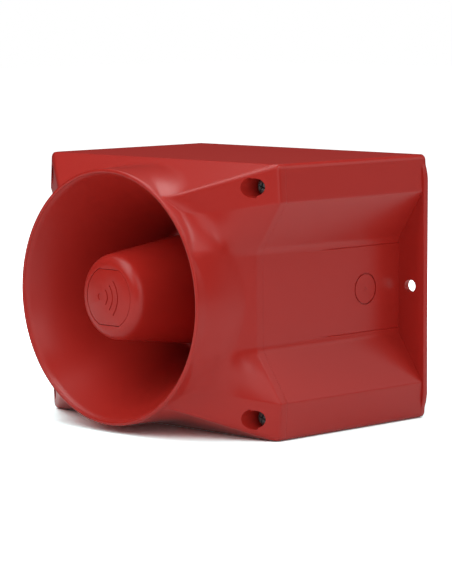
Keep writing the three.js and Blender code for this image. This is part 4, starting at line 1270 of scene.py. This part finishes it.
def circuitBoard(pads):
    front, back = boardLow[1], boardHigh[1]
    outline = roundRect(boardHigh[0] - boardLow[0], boardHigh[2] - boardLow[2], 3.0)
    obj = prism("circuit_board_fine", outline, bevelled(front, back, 0.15))
    places = [middleMm(f"board_pillar_{i}")[[0, 2]] for i in range(1, 5)]
    drill(obj, places, board["pillarHole"], front - 1, back + 1)
    leadZ = boxMm("driver_lead_1")[1][2] - board["leadRadius"]
    leads = [(middleMm(f"driver_lead_{i}")[0], leadZ) for i in (1, 2)]
    drill(obj, leads, board["leadHole"], front - 1, back + 1)
    place(obj, "front", "board_laminate", "circuit_board")
    joints = [solderJoint(x, z) for x, z in pads]
    place(joinParts(joints, "solder_joints"), "front", "zinc_steel")
    land = ringProfile(2.2, board["landRadius"], back - 0.05, back + 0.05)
    lands = [softLathe("land", land, 0.03, x, z, 40) for x, z in places]
    place(joinParts(lands, "screw_lands"), "front", "brass")


def boardPillar(i):
    node = f"board_pillar_{i}"
    low, high = boxMm(node)
    x, _, z = (low + high) / 2
    tips = circle(1, segments=6) @ np.array([[math.cos(turn / 12), math.sin(turn / 12)],
                                             [-math.sin(turn / 12), math.cos(turn / 12)]])
    sides = zip(tips, np.roll(tips, -1, axis=0))
    hexagon = np.concatenate([np.linspace(p, q, 4, endpoint=False) for p, q in sides])
    outline = hexagon * (high[2] - low[2]) / 2 + [x, z]
    obj = prism(node + "_fine", outline, bevelled(low[1], high[1], 0.35), 20)
    combine(obj, [holeCutter(x, z, board["pillarThread"], high[1] - board["threadDepth"], high[1] + 1)])
    return place(obj, "front", "brass", node)


# A terminal block has a stepped section along X, full height at the back and a slope over the screws.
terminal = {
    "backLip": (2.5, 2.2),    # the back edge's step: down, and in from the back
    "slope": (2.4, 3.2),      # the slope over the screws: in from the front, and down
    "wireHalf": 1.7,
    "wireHeights": (1.5, 5.5),
    "wireDepth": 6.0,
    "screwHole": 1.75,
    "screwRadius": 1.5,
    "screwBack": 0.6,         # the screws' line behind the block's middle
    "seamHalf": 0.12,
}


def terminalBlock(node, ways):
    low, high = boxMm(node)
    top, front, back = high[1], low[2], high[2]
    pitch = (high[0] - low[0]) / ways
    midZ = (front + back) / 2
    screwZ = midZ + terminal["screwBack"]
    (down, inwards), (start, drop) = terminal["backLip"], terminal["slope"]
    section = np.array([(low[1], front), (low[1], back), (top - down, back), (top, back - inwards),
                        (top, front + start), (top - drop, front)])
    path = softPath(np.vstack([section, section[:1]]), [0.3] * 5, 3)[:-1]
    obj = ringSolid(node + "_fine", along((low[0], high[0]), path))
    wire, seam = terminal["wireHalf"], terminal["seamHalf"]
    y0, y1 = low[1] + np.array(terminal["wireHeights"])
    head = ringProfile(0, terminal["screwRadius"], top - 1.2, top - 2.35)
    cutters, screws, pads = [], [], []
    for i in range(ways):
        x = low[0] + pitch * (i + 0.5)
        cutters.append(block((x - wire, y0, front - 1), (x + wire, y1, front + terminal["wireDepth"])))
        cutters.append(holeCutter(x, screwZ, terminal["screwHole"], top - 2.4, top + 1))
        groove = block((x - 1.4, top - 1.7, midZ + 0.35), (x + 1.4, top - 1, midZ + 0.85))
        screws.append(combine(softLathe("clamp", head, 0.2, x, screwZ, 24), [groove]))
        pads += [(x, midZ), (x, midZ + 3)]
        if i:
            edge = x - pitch / 2
            cutters.append(block((edge - seam, low[1] - 1, front - 1), (edge + seam, top + 1, front + 0.3)))
    combineAll(obj, cutters)
    place(obj, "front", "terminal_green", node)
    place(joinParts(screws, node + "_clamps"), "front", "zinc_steel")
    return pads


# Can capacitor: a sleeved can with a crimped groove near the board, and a scored lid.
can = {
    "crimp": (1.6, 2.2, 2.8),  # heights of the groove's edges and middle
    "crimpDepth": 0.5,
    "curl": 0.9,              # width of the curled edge round the lid
    "lidSink": 0.45,
    "scores": 3,
    "scoreHalf": 0.12,
}


def capacitor(node):
    low, high = boxMm(node)
    x, _, z = (low + high) / 2
    r = (high[0] - low[0]) / 2
    y0, y1 = low[1], high[1]
    start, middle, end = y0 + np.array(can["crimp"])
    curl, sunk = r - can["curl"], y1 - can["lidSink"]
    profile = [(0, y0), (r - 0.3, y0), (r, y0 + 0.5), (r, start), (r - can["crimpDepth"], middle), (r, end),
               (r, y1 - 0.25), (r - 0.7, y1 - 0.1), (curl, sunk), (0, sunk)]
    place(softLathe(node + "_fine", profile, 0.3, x, z, 72), "front", "capacitor_sleeve", node)
    lid = softLathe(node + "_lid", ringProfile(0, curl - 0.2, y1 - 0.3, y1 - 0.44), 0.05, x, z, 48)
    half = can["scoreHalf"]
    for k in range(can["scores"]):
        score = block((x - 0.75 * r, y1 - 0.38, z - half), (x + 0.75 * r, y1, z + half))
        combine(lid, [spun(score, 180 / can["scores"] * k, "Y", x, 0, z)])
    place(lid, "front", "cast_aluminium")
    return [(x - r / 2.6, z), (x + r / 2.6, z)]


# Ring core wound with wire: the winding's surface is a torus whose section swells at each of its turns.
winding = {
    "inner": 3.0,
    "turns": 34,
    "bulge": 0.16,
    "squareness": 0.7,        # power of the section's sine and cosine: 1 is round, less is squarer
}


def inductor():
    low, high = boxMm("inductor")
    centre = (low + high) / 2
    outer, inner, tall, turns = (high[0] - low[0]) / 2, winding["inner"], high[1] - low[1], winding["turns"]
    around = np.arange(turns * 6)[:, None] * turn / (turns * 6)
    across = np.arange(20)[None, :] * turn / 20

    def squared(wave):
        return np.sign(wave) * np.abs(wave) ** winding["squareness"]

    bulge = winding["bulge"] * np.abs(np.cos(around * turns / 2))
    half = (outer - inner) / 2
    r = inner + half + (half - 0.2 + bulge) * squared(np.cos(across))
    y = centre[1] + (tall / 2 - 0.2 + bulge) * squared(np.sin(across))
    rings = np.stack([centre[0] + r * np.cos(around), y, centre[2] + r * np.sin(around)], axis=-1)
    place(ringSolid("inductor_fine", rings, closed=True, sharpDegrees=60), "front", "copper_wire", "inductor")
    return [(centre[0] - 4, centre[2] - 8), (centre[0] + 4, centre[2] - 8)]


# A flat chip on bent legs. The leg's section goes out from the body, down and out along the board.
chip = {
    "standoff": 0.35,
    "dimple": 0.6,
    "dimpleIn": 1.6,          # the first leg's mark, from two edges
    "legs": 8,                # on each side
    "legHalf": 0.2,
    "leg": np.array([(0, 0.9), (0.55, 0.9), (0.95, 0.1), (1.6, 0.1), (1.6, -0.1), (0.85, -0.1), (0.5, 0.7),
                     (0, 0.7)]),
}


def controllerChip():
    low, high = boxMm("controller_chip")
    obj = bevelBlock("controller_chip_fine", low + [0, chip["standoff"], 0], high, 0.25, 0.3)
    dimple = lathe("cutter", ringProfile(0, chip["dimple"], high[1] - 0.15, high[1] + 1),
                   low[0] + chip["dimpleIn"], high[2] - chip["dimpleIn"], 24)
    combine(obj, [dimple])
    place(obj, "front", "black_plastic", "controller_chip")
    legs = []
    half = chip["legHalf"]
    for side, z in ((1, high[2]), (-1, low[2])):
        out, up = chip["leg"].T
        outline = np.stack([onBoard - 0.15 + up, z + side * (out - 0.1)], axis=-1)
        for k in range(chip["legs"]):
            x = lerp(low[0] + 0.7, high[0] - 0.7, k / (chip["legs"] - 1))
            legs.append(ringSolid("leg", along((x - half, x + half), outline)))
    place(joinParts(legs, "chip_legs"), "front", "zinc_steel")


sink = {
    "fins": 5,
    "plate": 1.8,
    "fin": 1.6,
    "bevel": 0.25,
}


def heatsink():
    low, high = boxMm("heatsink")
    fins, plate, thick = sink["fins"], sink["plate"], sink["fin"]
    pitch = (high[0] - low[0] - thick) / (fins - 1)
    comb = [(low[0], low[2])]
    for k in range(fins):
        x = low[0] + pitch * k
        comb += [(x, high[2]), (x + thick, high[2])]
        if k < fins - 1:
            comb += [(x + thick, low[2] + plate), (x + pitch, low[2] + plate)]
    comb = np.array(comb + [(high[0], low[2])])
    rings = [np.stack([comb[:, 0], np.full(len(comb), y), comb[:, 1]], axis=-1) for y in (low[1], high[1])]
    obj = flatEnded("heatsink_fine", rings)
    modifier = obj.modifiers.new("edges", "BEVEL")
    modifier.width = sink["bevel"] * mm
    modifier.segments = 2
    modifier.limit_method = "ANGLE"
    return place(obj, "front", "heatsink_aluminium", "heatsink")


# Two rings of any outline joined by walls, each end one flat face.
def flatEnded(name, rings):
    rings = np.asarray(rings, float)
    cols = rings.shape[1]
    ring = np.arange(cols)[None, :]
    return meshObject(name, rings.reshape(-1, 3), [gridFaces(2, cols, False), ring[:, ::-1], cols + ring])


transistor = {
    "tabThick": 1.3,
    "tabLong": 3.2,           # how far the tab stands out over the body
    "holeRadius": 1.8,
    "holeDown": 1.9,
    "legHalf": 0.4,
    "legZ": (1.2, 1.7),       # the legs' faces, from the front
}


def powerTransistor():
    low, high = boxMm("power_transistor")
    top = high[1]
    bodyLow, bodyHigh = low + [0, 0, 0.6], high - [0, transistor["tabLong"], 0]
    obj = bevelBlock("power_transistor_fine", bodyLow, bodyHigh, 0.3, 0.3)
    place(obj, "front", "black_plastic", "power_transistor")
    tabBack = high[2] - 0.1
    tab = bevelBlock("transistor_tab", (low[0], low[1] + 0.4, tabBack - transistor["tabThick"]),
                     (high[0], top, tabBack), 0.15, 0.2)
    x = (low[0] + high[0]) / 2
    hole = spun(holeCutter(0, 0, transistor["holeRadius"], -3, 3), 90, "X")
    hole.data.transform(Matrix.Translation(Vector((x, top - transistor["holeDown"], high[2])) * mm))
    combine(tab, [hole])
    place(tab, "front", "zinc_steel")
    half = transistor["legHalf"]
    front, back = low[2] + np.array(transistor["legZ"])
    legs = []
    for k in (-1, 0, 1):
        at = x + board["pinPitch"] * k
        foot, end = (at - half, onBoard - 2.2, front), (at + half, low[1] + 0.5, back)
        legs.append(bevelBlock("leg", foot, end, 0.1, 0.1))
    place(joinParts(legs, "transistor_legs"), "front", "zinc_steel")
    return [(x + board["pinPitch"] * k, low[2] + 1.45) for k in (-1, 0, 1)]


def toneSwitch():
    low, high = boxMm("tone_switch")
    obj = bevelBlock("tone_switch_fine", low, high, 0.3, 0.4)
    gap, midZ = 0.15, (low[2] + high[2]) / 2
    cutters = []
    for i in range(1, 6):
        node = f"tone_slider_{i}"
        start, end = boxMm(node)
        half = (midZ - start[2]) + gap
        left, right = start[0] - gap, end[0] + gap
        cutters.append(block((left, high[1] - 2, midZ - half), (right, high[1] + 1, midZ + half)))
        place(bevelBlock(node + "_fine", start, end, 0.22, 0.2), f"slider_{i}", "white_plastic", node)
    combineAll(obj, cutters)
    place(obj, "front", "switch_blue", "tone_switch")
    columns = [low[0] + board["pinPitch"] * (k + 0.75) for k in range(5)]
    return [(x, z) for x in columns for z in (low[2] + 0.8, high[2] - 0.8)]


volume = {
    "stem": 2.0,
    "stemHole": 2.3,
    "capTall": 4.0,
    "flutes": 18,
    "fluteDepth": 0.22,
    "groove": (3.2, 0.5, 1.2),  # screwdriver groove: half length, half width, depth
    "mark": (0.35, 0.5, 1.2),  # pointer: half width, depth, start from the middle
}


def volumeControl():
    low, high = boxMm("volume_control")
    x, _, z = (low + high) / 2
    obj = bevelBlock("volume_control_fine", low, high, 0.35, 0.7)
    combine(obj, [holeCutter(x, z, volume["stemHole"], high[1] - 3, high[1] + 1)])
    place(obj, "front", "black_plastic", "volume_control")
    foot, top = boxMm("volume_knob")
    r, base, stem, end = (top[0] - foot[0]) / 2, top[1] - volume["capTall"], volume["stem"], top[1]
    profile = [(0, foot[1]), (stem, foot[1]), (stem, base), (r, base), (r - 0.15, end), (0, end)]

    def flutes(radius, depthY, angle):
        return -volume["fluteDepth"] * (np.cos(angle * volume["flutes"]) > 0.4) * (radius > r - 0.3)

    knob = softLathe("volume_knob_fine", profile, [0.2, 0.2, 0.25, 0.4], x, z, 144, 4, flutes)
    reach, half, deep = volume["groove"]
    groove = block((x - reach, end - deep, z - half), (x + reach, end + 1, z + half))
    half, deep, start = volume["mark"]
    mark = block((x - half, end - deep, z + start), (x + half, end + 1, z + r + 1))
    combine(knob, [groove, mark])
    place(knob, "knob", "white_plastic", "volume_knob")
    return [(x + 2.5 * k, z - 4) for k in (-1, 0, 1)]


# A lead follows a smooth cubic through its points, as a tube of rings square to the path.
def driverLead(i, finish):
    node = f"driver_lead_{i}"
    low, high = boxMm(node)
    x, r = (low[0] + high[0]) / 2, board["leadRadius"]
    z = high[2] - r
    y0, y1 = low[1], high[1]
    route = np.array([(x, y0, z - 2.6), (x, y0 + 3, z - 1.5), (x, (y0 + boardLow[1]) / 2, z),
                      (x, boardLow[1] - 3, z), (x, y1, z)])
    n = len(route)
    ext = np.vstack([2 * route[0] - route[1], route, 2 * route[-1] - route[-2]])
    s = np.linspace(0, n - 1, 60)
    k = np.minimum(s.astype(int), n - 2)
    u = (s - k)[:, None]
    p0, p1, p2, p3 = ext[k], ext[k + 1], ext[k + 2], ext[k + 3]
    path = 0.5 * (2 * p1 + (p2 - p0) * u + (2 * p0 - 5 * p1 + 4 * p2 - p3) * u ** 2
                  + (3 * p1 - p0 - 3 * p2 + p3) * u ** 3)
    ahead = np.gradient(path, axis=0)
    ahead /= np.linalg.norm(ahead, axis=1, keepdims=True)
    across = np.cross(ahead, [1.0, 0, 0])
    across /= np.linalg.norm(across, axis=1, keepdims=True)
    a = np.arange(20)[None, :, None] * turn / 20
    rings = path[:, None] + r * (np.cos(a) * np.array([1.0, 0, 0]) + np.sin(a) * across[:, None])
    tube = ringSolid(node + "_fine", rings)
    place(tube, "front", finish, node)
    return [(x, z)]


pads = terminalBlock("supply_terminals", 4) + terminalBlock("control_terminals", 5)
pads += capacitor("reservoir_capacitor") + capacitor("filter_capacitor") + inductor() + powerTransistor()
pads += toneSwitch() + volumeControl()
controllerChip()
heatsink()
pads += driverLead(1, "lead_red") + driverLead(2, "lead_black")
for i in range(1, 5):
    boardPillar(i)
circuitBoard(pads)
print("board and what is on it made")


# Camera, floor and lights. Azimuths are as seen from above, 0 in front of the horn and growing towards +X.
def outwards(azimuth, elevation):
    a, e = math.radians(azimuth), math.radians(elevation)
    return Vector((math.sin(a) * math.cos(e), -math.cos(a) * math.cos(e), math.sin(e)))


view = {
    "aim": (0.0285, -0.01525, -0.0004),  # from the frame's middle, in metres
    "azimuth": 44.64,
    "elevation": 6.26,
    "roll": -0.231,
    "distance": 1.7118,
    "lens": 170.36,
}


def makeCamera():
    low, high = (np.array(v) for v in cadBounds)
    data = bpy.data.cameras.new("camera")
    data.lens = view["lens"]
    data.sensor_width = 36
    data.sensor_fit = "AUTO"
    obj = bpy.data.objects.new("camera", data)
    bpy.context.scene.collection.objects.link(obj)
    out = outwards(view["azimuth"], view["elevation"])
    obj.location = Vector((low + high) / 2 + np.array(view["aim"])) + out * view["distance"]
    rotation = (-out).to_track_quat("-Z", "Y").to_matrix().to_4x4()
    obj.rotation_euler = (rotation @ Matrix.Rotation(math.radians(view["roll"]), 4, "Z")).to_euler()
    bpy.context.scene.camera = obj


lightAim = Vector((0, -0.09, 0))
lightDistance = 1.5
wide, narrow = 0.8, 0.3  # sides of the square lights
# each: azimuth, elevation, side, power
lights = {
    "key": (-5, 35, wide, 4.8),
    "keyHigh": (-5, 60, wide, 6.2),
    "front": (30, 35, wide, 0.8),
    "rightLow": (60, 8, wide, 1.9),
    "right": (60, 35, wide, 2.4),
    "side": (85, 35, wide, 0.7),
    "sideGlint": (82, 24, narrow, 0.8),
    "backLow": (140, 8, wide, 0.6),
    "back": (140, 30, wide, 1.7),
    "backGlint": (125, 50, narrow, 1.6),
    "topLeft": (-60, 65, wide, 2.2),
    "topBack": (135, 65, wide, 2.9),
    "topFar": (225, 65, wide, 5.4),
    "cupGlint": (15, 73, narrow, 1.1),
}


def addArea(name, azimuth, elevation, side, power):
    data = bpy.data.lights.new(name, "AREA")
    data.shape = "RECTANGLE"
    data.size = data.size_y = side
    data.energy = power
    data.spread = math.pi
    obj = bpy.data.objects.new(name, data)
    bpy.context.scene.collection.objects.link(obj)
    out = outwards(azimuth, elevation)
    obj.location = lightAim + out * lightDistance
    obj.rotation_euler = (-out).to_track_quat("-Z", "Y").to_euler()


studio = {
    "ambient": 0.03,          # of the world, for anything but the camera's own rays
    "floorWhite": 0.86,
    "floorSeen": (1.75, 2.2, 2.2, 1),  # for the camera: burnt out to white, the siren's red light cut
    "floorSheen": 0.05,       # what glossy surfaces see in the floor, beyond its own light
    "farFloor": (0.24, 0.42),  # the floor turns plain white between these distances
}


def makeStage():
    size, z = 6.0, cadBounds[0][2] - 0.0002
    mesh = bpy.data.meshes.new("floor")
    sheet = [(-size, -size, z), (size, -size, z), (size, size, z), (-size, size, z)]
    mesh.from_pydata(sheet, [], [(0, 1, 2, 3)])
    floor = bpy.data.objects.new("floor", mesh)
    bpy.context.scene.collection.objects.link(floor)
    material = bpy.data.materials.new("studio_floor")
    material.use_nodes = True
    tree = material.node_tree
    shader = tree.nodes["Principled BSDF"]
    shader.inputs["Roughness"].default_value = 0.9
    shader.inputs["Specular IOR Level"].default_value = 0.1
    shader.inputs["Emission Color"].default_value = (1, 1, 1, 1)
    path = tree.nodes.new("ShaderNodeLightPath")
    camera, glossy = path.outputs["Is Camera Ray"], path.outputs["Is Glossy Ray"]
    tint = mixColour(tree, camera, (studio["floorWhite"],) * 3 + (1,), studio["floorSeen"])
    tree.links.new(tint, shader.inputs["Base Color"])
    position = tree.nodes.new("ShaderNodeTexCoord")
    length = tree.nodes.new("ShaderNodeVectorMath")
    length.operation = "LENGTH"
    tree.links.new(position.outputs["Object"], length.inputs[0])
    far = ramp(tree, length.outputs[1], *studio["farFloor"])
    glow = mathNode(tree, "MULTIPLY", camera, far)
    sheen = mathNode(tree, "MULTIPLY", glossy, studio["floorSheen"])
    tree.links.new(mathNode(tree, "ADD", glow, sheen), shader.inputs["Emission Strength"])
    mesh.materials.append(material)
    world = bpy.data.worlds.new("studio")
    bpy.context.scene.world = world
    world.use_nodes = True
    tree = world.node_tree
    background = tree.nodes["Background"]
    path = tree.nodes.new("ShaderNodeLightPath")
    strength = tree.nodes.new("ShaderNodeMapRange")
    strength.inputs["To Min"].default_value = studio["ambient"]
    strength.inputs["To Max"].default_value = 1.0
    tree.links.new(path.outputs["Is Camera Ray"], strength.inputs["Value"])
    tree.links.new(strength.outputs[0], background.inputs["Strength"])
    background.inputs["Color"].default_value = (1, 1, 1, 1)


makeCamera()
makeStage()
for name, values in lights.items():
    addArea(name, *values)
bpy.context.scene.view_settings.view_transform = "Standard"
print("camera, stage and lights made")
